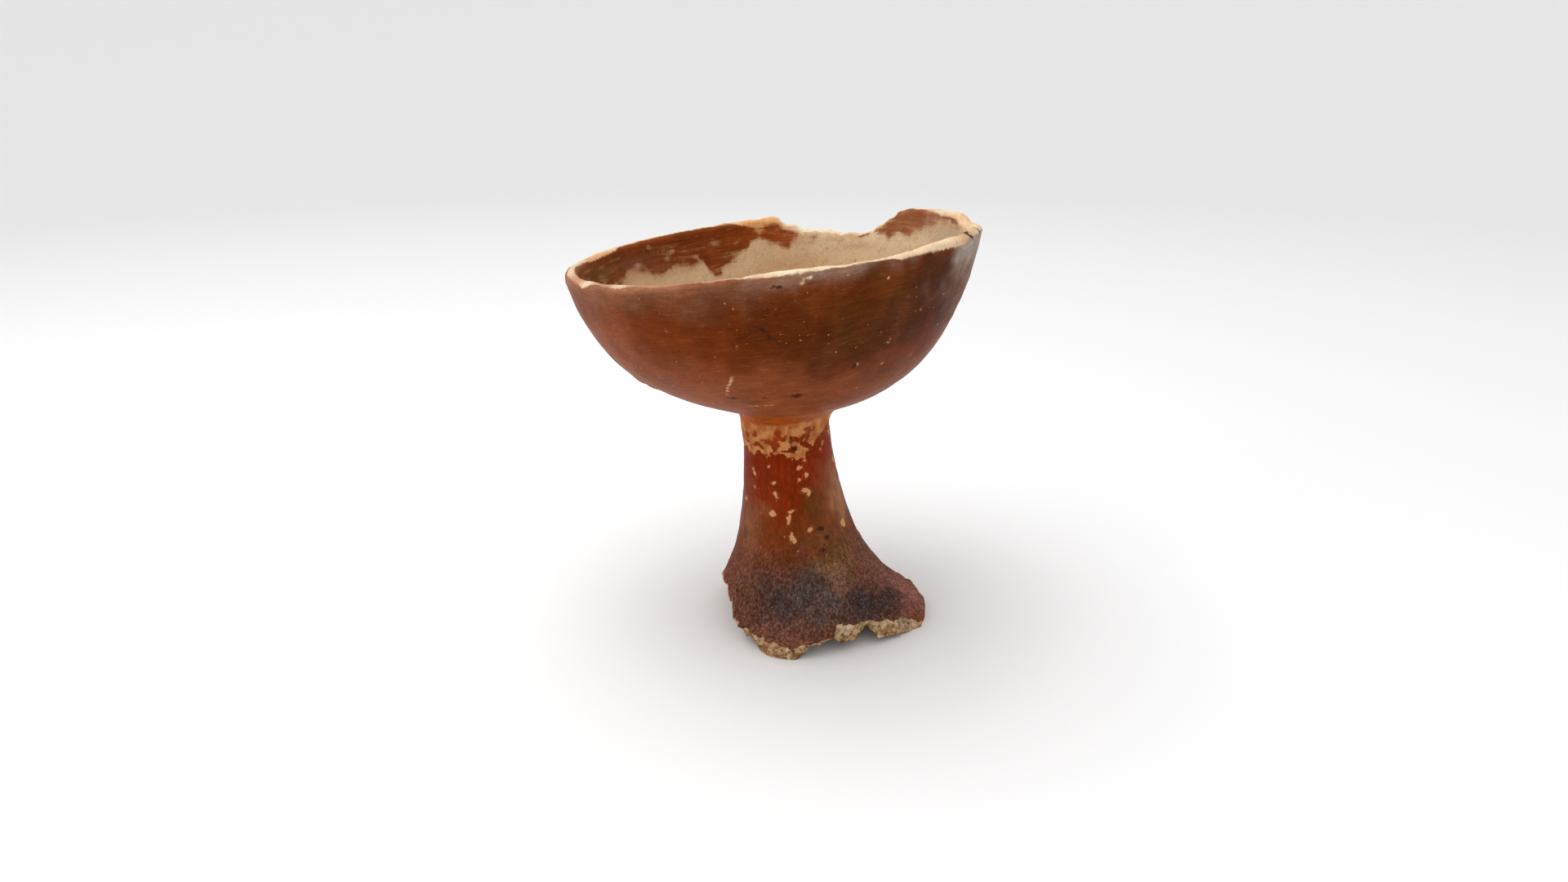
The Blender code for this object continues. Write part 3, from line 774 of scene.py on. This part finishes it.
def wearField(skin, points):               # how deep in bare clay, in metres, and less than 0 is slip
    height, most = skin["height"] * inMm, finish["mostWear"]

    def width(name):
        return around(finish[name], skin["azimuth"])

    lip = width("rimWear") - skin["fromCrown"] * inMm
    collar = np.minimum(height - width("collarLow"), finish["collarTop"] - height) / inMm
    slanted = points + np.outer(points[:, 2], finish["collarSlant"])
    remains = waves(slanted, "remains") + finish["remainsMore"]
    remains += finish["collarRimMore"] * reach(skin["height"], "collarRim")
    collar = np.minimum.reduce([collar, -spotField(skin, "collarBlots"), remains])
    spots = spotField(skin, "flakes") + finish["flakesMore"]
    spots = np.maximum(spots, scratchField(skin, "scratches"))
    edge = width("bareEdge") / inMm - skin["fromEdge"] + waves(points, "footEdge")
    outer = np.maximum.reduce([lip / inMm, collar, spots, edge])
    inner = width("insideEdge") - height + waves(points, "insideEdge")
    inner = np.maximum(np.maximum(inner, lip) / inMm, spotField(skin, "insideFlakes"))
    field = np.where(skin["outside"], outer, inner)
    wrap = width("wrappedEdge") / inMm
    wrapped = finish["wrapSteepness"] * (skin["fromEdge"] - wrap)
    face = np.where(wrap > finish["leastWrap"], wrapped, most)
    field = np.where(skin["region"] == "face", face, field)
    field = np.where(skin["region"] == "hollow", most, field)
    bare = skin["rimBroken"] * width("breakBare") - finish["breakSlip"]
    return np.clip(np.maximum(field, bare), -most, most)


def markField(skin):
    outside = skin["outside"] | (skin["fromCrown"] < finish["sootOverLip"])
    outer = np.where(outside, spotField(skin, "soots"), finish["farOff"])
    inner = np.where(skin["region"] == "inside", spotField(skin, "insideSoots"), finish["farOff"])
    return np.maximum(outer, inner) * inMm


def edgeSoftness(skin):                    # how gradually slip gives way to clay, in mm
    softness, height = finish["softness"], skin["height"]
    soft = np.full(len(height), softness["slip"])
    soft[skin["outside"] & (skin["fromEdge"] < finish["footSoft"])] = softness["foot"]
    soft[skin["region"] == "inside"] = softness["inside"]
    low, high = finish["collarSoft"]
    soft[skin["outside"] & (height > low) & (height < high)] = softness["collar"]
    return soft + (softness["lip"] - soft) * reach(skin["fromCrown"], "lipSoft")


def mixIn(colours, name, share):
    colours += (tone(name) - colours) * share[:, None]


def paintDabs(colours, skin, warp, name, where):
    for toneName, azimuth, height, wide, tall, strength in finish[name]:
        side = (aroundCup(skin, azimuth) + warp[0] * min(1.0, wide / finish["smallDab"])) / wide
        rise = skin["height"] * inMm - height + warp[1] * min(1.0, tall / finish["smallDab"])
        mixIn(colours, toneName, strength * np.exp(-(side ** 2 + (rise / tall) ** 2)) * where)


def paintSkin(skin, points):
    region, height = skin["region"], skin["height"]
    outside = 1.0 * skin["outside"]
    warp = np.array([waves(points, "warpRound"), waves(points, "warpUp")])
    heights, names = zip(*finish["outsideBands"])
    rise = height * inMm + warp[1] * finish["bandWarp"]
    parts = np.array([tone(name) for name in names]).T
    slip = np.column_stack([np.interp(rise, heights, part) for part in parts])
    slip = np.where(skin["outside"][:, None], slip, tone("innerBrown"))
    paintDabs(slip, skin, warp, "outsideDabs", outside)
    paintDabs(slip, skin, warp, "insideDabs", 1.0 - outside)

    clay = np.zeros_like(slip)
    for name, toneName in finish["clayTones"].items():
        clay[region == name] = tone(toneName)
    lip = reach(skin["fromCrown"], "lipClay")
    mixIn(clay, "peach", lip)
    mixIn(clay, "cream", lip * (0.5 + 0.5 * np.clip(waves(points, "cream"), -1, 1)))
    stem = (region == "stem") * reach(height, "stemClayHigh") * reach(height, "stemClayLow")
    mixIn(clay, "flake", finish["stemClay"] * stem)
    mottle = reach(waves(points, "mottle"), "mottle") * (region != "inside")
    mottle = mottle * reach(height, "mottleLow") * reach(height, "mottleHigh")
    mixIn(clay, "copper", finish["mottle"] * mottle)
    mixIn(clay, "greyCream", finish["footClay"] * (region == "stem") * reach(height, "footClay"))
    shown = np.where(region == "hollow", finish["hollowDabs"], 1.0)
    paintDabs(clay, skin, warp * finish["clayWarp"], "clayDabs", shown)
    return slip, clay


def storeField(piece, name, values):
    kind = "FLOAT_COLOR" if values.ndim == 2 else "FLOAT"
    layer = piece.data.attributes.new(name, kind, "POINT")
    if values.ndim == 2:
        values = np.column_stack([values, np.ones(len(values))])
        layer.data.foreach_set("color", values.astype(np.float32).ravel())
    else:
        layer.data.foreach_set("value", values.astype(np.float32))


# Looks of the two materials
looks = {
    "noises": {                    # scale in a metre or times a group's pattern, detail, roughness, bend
        "drift": (34.0, 1.0, 0.55, 0.0),
        "stroke": (1.0, 4.0, 0.62, 0.0),
        "fine": (2.7, 3.0, 0.7, 0.0),
        "ripple": (1.0, 4.0, 0.56, 0.0),
        "speckRipple": (4.0, 2.0, 0.55, 0.0),
        "grain": (1.0, 3.0, 0.6, 0.0),
        "stain": (0.17, 5.0, 0.66, 0.4),
        "holes": (0.45, 3.0, 0.5, 0.2),
        "folds": (1.0, 2.0, 0.55, 0.35),
        "crumbs": (0.3, 3.0, 0.6, 0.0),
        "darkCloud": (62.0, 5.0, 0.62, 0.0),
        "rosyCloud": (95.0, 4.0, 0.6, 0.3),
        "sand": (1900.0, 2.0, 0.6, 0.0),
        "gathered": (34.0, 3.0, 0.55, 0.0),
        "lumps": (470.0, 5.0, 0.66, 0.3),
        "breakStain": (190.0, 4.0, 0.6, 0.0),
    },
    "eased": {                     # from, and to where they aren't 0 and 1
        "onStem": (0.079, 0.085, 1.0, 0.0), "scratch": (0.60, 0.74), "halo": (-0.7, 0.1),
        "traces": (0.0, 3.4, 1.0, 0.0), "stain": (0.48, 0.72), "holes": (0.30, 0.38, 1.0, 0.0),
        "darkCloud": (0.42, 0.70), "rosyCloud": (0.48, 0.74), "crestHighlights": (0.50, 0.72),
        "gathered": (0.40, 0.62, 0.10, 0.50), "strokeTraces": (0.42, 0.62, 0.0, 0.55),
        "softTraces": (0.34, 0.8), "lumpCrestPaleAndLit": (0.48, 0.62), "creviceDirtAndShade": (0.36, 0.49, 1.0, 0.0),
        "breakStain": (0.48, 0.66),
    },
    "straight": {
        "ripple": (0.28, 0.72, -1.0, 1.0), "grainShade": (0.3, 0.7, 0.84, 1.12),
        "strokeShade": (0.30, 0.70, 0.84, 1.16), "fineShade": (0.30, 0.70, 0.83, 1.17),
        # foldLightAndShade paints shade into the wrinkles' valleys and light onto their ridges, and
        # crumbShade varies it
        "sandShade": (0.3, 0.7, 0.86, 1.14), "foldLightAndShade": (0.34, 0.68, 0.62, 1.70),
        "crumbShade": (0.38, 0.62, 0.84, 1.18), "streaky": (0.34, 1.0, 0.0, 5.5),
        "fray": (0.13, 0.55, 0.58, 0.30), "shine": (0.3, 0.7, 0.36, 0.52),
    },
    "tints": {                     # tone, strength
        "darkCloud": ("umber", 0.30), "rosyCloud": ("rosy", 0.18), "dust": ("bloom", 0.12),
        # crests: painted highlights on the foot's wrinkles
        "crestHighlights": ("bloom", 0.13), "specks": ("peach", 0.45), "bigSpecks": ("peach", 0.7),
        # lumpCrestPaleAndLit is paler clay with painted light; crevice is dirt with painted shade
        "mark": ("darkBrown", 0.88), "lumpCrestPaleAndLit": ("straw", 0.8), "creviceDirtAndShade": ("earth", 0.85),
        "breakStain": ("rust", 0.4), "breakSpecks": ("umber", 0.6),
    },
    "specks": {"specks": (480.0, 0.19), "bigSpecks": (170.0, 0.095), "breakSpecks": (520.0, 0.36)},
    "speckShares": {"bigSpecks": 0.07, "breakSpecks": 0.3},
    "speckBend": 0.35,
    "speckHeart": 0.55,            # share of a speck that is solid
    "drift": 0.0055,
    "bowlStrokes": (80.0, 80.0, 620.0),
    "stemStrokes": (600.0, 600.0, 85.0),
    "foldTurn": (0.5, 0.5, 0.0),
    "foldStretch": (1.0, 1.0, 0.75),
    "foldPattern": 1050.0,
    "wornClay": (1500.0, 0.26, 0.22),    # pattern, staining, pitting
    "brokenClay": (900.0, 0.5, 0.6),
    "edgePattern": 620.0,
    "halo": 0.12,
    "mark": {"Fray": 0.55, "Pattern": 900.0, "Softness": 0.30},
    "roughShine": 0.28,
    "clayShine": 0.86,
    "breakShine": 0.92,
    "heights": {"stroke": 0.30, "scratch": -0.10, "folds": 3.4, "crumbs": 0.25, "sand": 0.16,
                "grain": 0.35, "worn": 0.5, "lumps": 3.2, "breakGrain": 0.5},
    "slipBump": (0.00020, 0.04),         # depth in metres, gloss
    "breakBump": (0.00040, 0.06),
}


# Shader helpers: a node with its values or links, and a node group with named sockets

def put(tree, kind, values, **settings):
    node = tree.nodes.new("ShaderNode" + kind)
    for setting, value in settings.items():
        setattr(node, setting, value)
    for socket, value in values.items():
        if isinstance(value, bpy.types.NodeSocket):
            tree.links.new(value, node.inputs[socket])
        else:
            node.inputs[socket].default_value = value
    return node.outputs


def startGroup(name, **inputs):
    tree = bpy.data.node_groups.new(name, "ShaderNodeTree")
    for socketName, value in {"Vector": (0.0, 0.0, 0.0), **inputs}.items():
        kind = "NodeSocketVector" if isinstance(value, tuple) else "NodeSocketFloat"
        socket = tree.interface.new_socket(socketName, in_out="INPUT", socket_type=kind)
        socket.default_value = value
    return tree, tree.nodes.new("NodeGroupInput").outputs


def endGroup(tree, **outputs):
    for name in outputs:
        tree.interface.new_socket(name, in_out="OUTPUT", socket_type="NodeSocketFloat")
    wanted = tree.nodes.new("NodeGroupOutput").inputs
    for name, socket in outputs.items():
        tree.links.new(socket, wanted[name])


def mathNode(operation, *values):
    tree = next(value.id_data for value in values if isinstance(value, bpy.types.NodeSocket))
    return put(tree, "Math", dict(enumerate(values)), operation=operation)[0]


def times(first, second):
    return mathNode("MULTIPLY", first, second)


def vectorNode(operation, first, second):
    slot = "Scale" if operation == "SCALE" else 1
    return put(first.id_data, "VectorMath", {0: first, slot: second}, operation=operation)[0]


def shade(colour, value):
    return vectorNode("SCALE", colour, value)


def mapRange(kind, value, low, high, start=0.0, end=1.0):
    places = {"Value": value, "From Min": low, "From Max": high, "To Min": start, "To Max": end}
    return put(value.id_data, "MapRange", places, interpolation_type=kind)[0]


def eased(value, name):
    return mapRange("SMOOTHSTEP", value, *looks["eased"][name])


def straight(value, name):
    return mapRange("LINEAR", value, *looks["straight"][name])


def mix(share, first, second):
    return put(share.id_data, "Mix", {0: share, 2: first, 3: second})[0]


def blend(share, first, second):
    return put(share.id_data, "Mix", {0: share, 6: first, 7: second}, data_type="RGBA")[2]


def noiseNode(vector, name, pattern=None):
    scale, detail, grain, bend = looks["noises"][name]
    if pattern:
        scale = times(pattern, scale)
    values = {"Vector": vector, "Scale": scale, "Detail": detail, "Roughness": grain,
              "Distortion": bend}
    return put(vector.id_data, "TexNoise", values)[0]


def tinted(colour, toneName, mask, strength):
    return blend(times(mask, strength), colour, (*tone(toneName), 1.0))


def tint(colour, mask, name):
    toneName, strength = looks["tints"][name]
    return tinted(colour, toneName, mask, strength)


def cloud(colour, vector, name):
    return tint(colour, eased(noiseNode(vector, name), name), name)


def usePattern(group, vector, **values):
    group = bpy.data.node_groups[group]
    return put(vector.id_data, "Group", {"Vector": vector, **values}, node_tree=group)


def speckle(colour, vector, name, share=None):
    pattern, spot = looks["specks"][name]
    share = share or looks["speckShares"][name]
    specks = usePattern("scatteredSpots", vector, Pattern=pattern, Share=share, Spot=spot)
    return tint(colour, specks["Mask"], name)


def jostle(vector, ripple, distance):      # moves the places of a pattern by a noise
    moved = vectorNode("SUBTRACT", ripple.node.outputs["Color"], (0.5, 0.5, 0.5))
    return vectorNode("ADD", vector, vectorNode("SCALE", moved, distance))


def addUp(*parts):
    total = 0.0
    for part, height in parts:
        total = mathNode("MULTIPLY_ADD", part, height, total)
    return total


def strokeGroup():                         # marks of the polishing pebble, long one way
    tree, given = startGroup("polishStrokes", Across=(50.0, 50.0, 800.0))
    drift = noiseNode(given["Vector"], "drift")        # strokes change direction
    bent = jostle(given["Vector"], drift, looks["drift"])
    stretched = vectorNode("MULTIPLY", bent, given["Across"])
    fine = noiseNode(stretched, "fine")
    endGroup(tree, Stroke=noiseNode(stretched, "stroke"), Fine=fine,
             Scratch=eased(fine, "scratch"))


def edgeGroup():                           # a frayed edge between slip and bare clay, distances in mm
    tree, given = startGroup("frayedEdge", Distance=0.0, Fray=0.5, Pattern=700.0, Softness=0.1)
    ripple = straight(noiseNode(given["Vector"], "ripple", given["Pattern"]), "ripple")
    moved = mathNode("MULTIPLY_ADD", ripple, given["Fray"], given["Distance"])
    sharp = times(given["Softness"], -1.0)
    mask = mapRange("SMOOTHSTEP", moved, sharp, given["Softness"])
    endGroup(tree, Mask=mask, Halo=eased(moved, "halo"), Traces=eased(moved, "traces"))


def speckGroup():                          # scattered small spots
    tree, given = startGroup("scatteredSpots", Pattern=150.0, Share=0.2, Spot=0.2)
    ripple = noiseNode(given["Vector"], "speckRipple", given["Pattern"])
    distance = mathNode("DIVIDE", looks["speckBend"], given["Pattern"])
    bent = jostle(given["Vector"], ripple, distance)
    cells = put(tree, "TexVoronoi", {"Vector": bent, "Scale": given["Pattern"]})
    chance = put(tree, "SeparateColor", {0: cells["Color"]})
    rim = times(given["Spot"], chance[1])
    heart = times(rim, looks["speckHeart"])
    spot = mapRange("SMOOTHSTEP", cells["Distance"], heart, rim, 1.0, 0.0)
    shown = mathNode("LESS_THAN", chance[0], given["Share"])
    endGroup(tree, Mask=times(spot, shown))


def grainGroup():                          # bare fired clay: sand, stains and little holes
    tree, given = startGroup("clayGrain", Pattern=1400.0)
    grain, stain, holes = [noiseNode(given["Vector"], name, given["Pattern"])
                           for name in ("grain", "stain", "holes")]
    endGroup(tree, Grain=grain, Stain=eased(stain, "stain"), Holes=eased(holes, "holes"))


def wrinkleGroup():                        # the foot's rough skin, as height, and for the painted shade and highlights of its wrinkles
    tree, given = startGroup("roughSkin", Pattern=600.0)
    turned = {"Vector": given["Vector"], "Rotation": looks["foldTurn"], "Scale": looks["foldStretch"]}
    turned = put(tree, "Mapping", turned)[0]
    endGroup(tree, Folds=noiseNode(turned, "folds", given["Pattern"]),
             Crumbs=noiseNode(given["Vector"], "crumbs", given["Pattern"]))


def startMaterial(name, datum):
    material = bpy.data.materials.new(name)
    material.use_nodes = True
    tree = material.node_tree
    tree.nodes.clear()
    place = put(tree, "TexCoord", {})["Object"]
    turn = (-cup["nod"], -cup["lean"], 0.0)                  # patterns stand upright on the leaning cup
    upright = {"Vector": place, "Location": datum, "Rotation": turn}
    return material, tree, put(tree, "Mapping", upright, vector_type="TEXTURE")[0]


def endMaterial(tree, colour, roughness, height, bump):
    depth, gloss = bump
    bump = put(tree, "Bump", {"Strength": 1.0, "Distance": depth, "Height": height})[0]
    surface = put(tree, "BsdfPrincipled", {"Base Color": colour, "Roughness": roughness,
                                           "Normal": bump, "Specular IOR Level": gloss})
    put(tree, "OutputMaterial", {"Surface": surface[0]})


def field(tree, name, part="Fac"):
    return put(tree, "Attribute", {}, attribute_name=name)[part]


def bareClay(vector, name):
    pattern, staining, pitting = looks[name]
    grains = usePattern("clayGrain", vector, Pattern=pattern)
    shading = straight(grains["Grain"], "grainShade")
    colour = shade(field(vector.id_data, "clayTone", "Color"), shading)
    colour = tinted(colour, "rust", grains["Stain"], staining)
    holes = times(grains["Holes"], pitting)
    colour = tinted(colour, "umber", holes, 1.0)
    return colour, mathNode("SUBTRACT", grains["Grain"], holes)


def slippedClay(datum):
    material, tree, vector = startMaterial("slipped_clay", datum)
    heights = looks["heights"]
    rough, wear, mark, softness = [field(tree, name) for name in ("rough", "wear", "mark", "softness")]
    onStem = eased(put(tree, "SeparateXYZ", {0: vector})[2], "onStem")
    level, upright = [usePattern("polishStrokes", vector, Across=looks[name])
                      for name in ("bowlStrokes", "stemStrokes")]
    stroke, fine, scratch = [mix(onStem, level[name], upright[name])
                             for name in ("Stroke", "Fine", "Scratch")]
    scratch = times(scratch, mathNode("SUBTRACT", 1.0, rough))

    # slip: strokes, clouding, dust in the scratches, painted shade and highlights on the foot's
    # wrinkles, pale specks
    slip = shade(field(tree, "slipTone", "Color"), straight(stroke, "strokeShade"))
    slip = shade(slip, straight(fine, "fineShade"))
    slip = cloud(slip, vector, "darkCloud")
    slip = cloud(slip, vector, "rosyCloud")
    sand = noiseNode(vector, "sand")
    slip = shade(slip, straight(sand, "sandShade"))
    slip = tint(slip, scratch, "dust")
    skin = usePattern("roughSkin", vector, Pattern=looks["foldPattern"])
    # the wrinkles' valleys are painted darker and their ridges lighter, as painted shade and light
    paintedWrinkleShading = times(straight(skin["Folds"], "foldLightAndShade"),
                     straight(skin["Crumbs"], "crumbShade"))
    slip = shade(slip, mix(rough, 1.0, paintedWrinkleShading))
    # painted highlights on the crests of the foot's wrinkles
    slip = tint(slip, times(eased(skin["Folds"], "crestHighlights"), rough), "crestHighlights")
    gathered = eased(noiseNode(vector, "gathered"), "gathered")
    slip = speckle(slip, vector, "specks", gathered)
    slip = speckle(slip, vector, "bigSpecks")

    # bare clay where the slip has gone, and dark marks on both
    clay, grainHeight = bareClay(vector, "wornClay")
    streaks = times(mathNode("SUBTRACT", stroke, 0.5), straight(softness, "streaky"))
    edges = usePattern("frayedEdge", vector, Distance=mathNode("ADD", wear, streaks),
                       Pattern=looks["edgePattern"], Fray=straight(softness, "fray"),
                       Softness=softness)
    traces = times(edges["Traces"], eased(stroke, "strokeTraces"))
    traces = times(traces, eased(softness, "softTraces"))
    clay = blend(traces, clay, slip)
    slip = blend(times(edges["Halo"], looks["halo"]), slip, clay)
    colour = blend(edges["Mask"], slip, clay)
    dark = usePattern("frayedEdge", vector, Distance=mark, **looks["mark"])
    colour = tint(colour, dark["Mask"], "mark")

    shine = straight(stroke, "shine")
    shine = mathNode("MULTIPLY_ADD", rough, looks["roughShine"], shine)
    shine = mix(edges["Mask"], shine, looks["clayShine"])
    folded = addUp((skin["Crumbs"], heights["crumbs"]), (skin["Folds"], 1.0))
    folded = times(folded, rough)
    worn = times(grainHeight, heights["grain"])
    worn = mathNode("SUBTRACT", worn, heights["worn"])
    height = addUp((stroke, heights["stroke"]), (scratch, heights["scratch"]),
                   (folded, heights["folds"]), (sand, heights["sand"]), (worn, edges["Mask"]))
    endMaterial(tree, colour, shine, height, looks["slipBump"])
    return material


def brokenClay(datum):
    material, tree, vector = startMaterial("broken_clay", datum)
    heights = looks["heights"]
    colour, grainHeight = bareClay(vector, "brokenClay")
    lumps = noiseNode(vector, "lumps")
    # crests of the lumps painted paler, as pale clay and painted light; crevices darker, as dirt and
    # painted shade
    for name in ("lumpCrestPaleAndLit", "creviceDirtAndShade"):
        colour = tint(colour, eased(lumps, name), name)
    colour = cloud(colour, vector, "breakStain")
    colour = speckle(colour, vector, "breakSpecks")
    height = addUp((lumps, heights["lumps"]), (grainHeight, heights["breakGrain"]))
    endMaterial(tree, colour, looks["breakShine"], height, looks["breakBump"])
    return material


def paintFaces(piece, skin, materials):
    for material in materials:
        piece.data.materials.append(material)
    bare = skin["wear"] > finish["allBare"]
    broken = np.isin(skin["region"], ("face", "hollow")) & bare
    corners = readField(piece.data.loops, "vertex_index", kind=np.int32)
    starts = readField(piece.data.polygons, "loop_start", kind=np.int32)
    share = np.add.reduceat(broken[corners].astype(int), starts)
    piece.data.polygons.foreach_set("material_index", (share > 0).astype(np.int32))


print("Cup: spinning the section")
cupPiece = spinSection("clay_cup", section(0.0))
print("Cup: moving each point to the section of its own side")
sections = shapeCup(cupPiece)
skin = readSkin(cupPiece, sections)
points = readPoints(cupPiece)
skin["wear"] = wearField(skin, points)
plain = standOnTable(points)
offset = tableOffset(plain)

print("Cup: painting slip, clay, wear and marks")
slip, clay = paintSkin(skin, points)
painted = {"slipTone": slip, "clayTone": clay, "wear": skin["wear"] * inMm, "rough": skin["rough"],
           "softness": edgeSoftness(skin), "mark": markField(skin)}
for name, values in painted.items():
    storeField(cupPiece, name, values)

print("Cup: hand-made unevenness, wear and broken edges")
noise.seed_set(relief["seed"])
relieved = standOnTable(addRelief(cupPiece, skin))
hold = ramp(plain[:, 2] + offset[2], cup["tableHold"])       # the feet stay flat
writePoints(cupPiece, plain + (relieved - plain) * hold[:, None] + offset)

print("Cup: materials")
for makeGroup in (strokeGroup, edgeGroup, speckGroup, grainGroup, wrinkleGroup):
    makeGroup()
paintFaces(cupPiece, skin, [slippedClay(offset), brokenClay(offset)])
cutAtTable(cupPiece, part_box("pedestal_cup")[0].z)
activate(cupPiece)
bpy.ops.object.shade_smooth()

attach(cupPiece, "root")
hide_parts("pedestal_cup")

# Stage: a round pale sweep, soft light and the photograph's camera
stage = {
    "floorRadius": 1.5,
    "curveRadius": 0.7,
    "curveSteps": 16,
    "wallHeight": 0.05,
    "sides": 96,
    "tone": (242, 242, 242),
    "sky": 0.86,
    "roughness": 0.9,
    "gloss": 0.1,
    "lights": {                      # place, size, power
        "key": ((-0.25, -0.02, 1.10), 0.75, 5.0),
        "fill": ((-0.80, -0.50, 0.50), 0.6, 1.2),
    },
    "lookAt": (0.0, 0.0, 0.08),
    "camera": (0.00415, -0.38476, 0.20795),
    "cameraTilt": 19.63,             # degrees down
    "lens": 24.45,
    "sensor": 36.0,
    "clipStart": 0.01,
}


def makeSweep():
    deselectAll()
    bpy.ops.mesh.primitive_circle_add(vertices=stage["sides"], radius=stage["floorRadius"],
                                      fill_type="NGON")
    sweep = bpy.context.object
    sweep.name = "sweep"
    startEdit()
    bpy.ops.mesh.region_to_loop()
    turns = np.linspace(0.0, math.pi / 2.0, stage["curveSteps"] + 1)
    radii = stage["floorRadius"] + stage["curveRadius"] * np.sin(turns)
    radii = np.append(radii, radii[-1])
    heights = stage["curveRadius"] * (1.0 - np.cos(turns))
    heights = np.append(heights, stage["curveRadius"] + stage["wallHeight"])
    for climb, grow in zip(np.diff(heights), radii[1:] / radii[:-1]):
        bpy.ops.mesh.extrude_edges_move(TRANSFORM_OT_translate={"value": (0.0, 0.0, climb)})
        bpy.ops.transform.resize(value=(grow, grow, 1.0), center_override=(0.0, 0.0, 0.0))
    selectAll()
    bpy.ops.mesh.normals_make_consistent(inside=True)
    endEdit()
    bpy.ops.object.shade_smooth()
    material = bpy.data.materials.new("pale_backdrop")
    material.use_nodes = True
    surface = material.node_tree.nodes["Principled BSDF"].inputs
    surface["Base Color"].default_value = (*toLinear(*stage["tone"]), 1.0)
    surface["Roughness"].default_value = stage["roughness"]
    surface["Specular IOR Level"].default_value = stage["gloss"]
    sweep.data.materials.append(material)
    return sweep


def addLight(name, place, size, power):
    deselectAll()
    turn = (Vector(stage["lookAt"]) - Vector(place)).to_track_quat("-Z", "Y").to_euler()
    bpy.ops.object.light_add(type="AREA", location=place, rotation=turn)
    lamp = bpy.context.object
    lamp.name = name
    lamp.data.size = size
    lamp.data.energy = power


print("Stage: sweep, lights and camera")
makeSweep()
for name, light in stage["lights"].items():
    addLight(name, *light)
sky = bpy.data.worlds.new("soft_sky")
sky.use_nodes = True
glow = sky.node_tree.nodes["Background"].inputs
glow["Color"].default_value = (1.0, 1.0, 1.0, 1.0)
glow["Strength"].default_value = stage["sky"]
bpy.context.scene.world = sky
bpy.context.scene.view_settings.view_transform = "Standard"

deselectAll()
tilt = math.radians(90.0 - stage["cameraTilt"])
bpy.ops.object.camera_add(location=stage["camera"], rotation=(tilt, 0.0, 0.0))
camera = bpy.context.object
camera.data.lens = stage["lens"]
camera.data.sensor_width = stage["sensor"]
camera.data.clip_start = stage["clipStart"]
bpy.context.scene.camera = camera
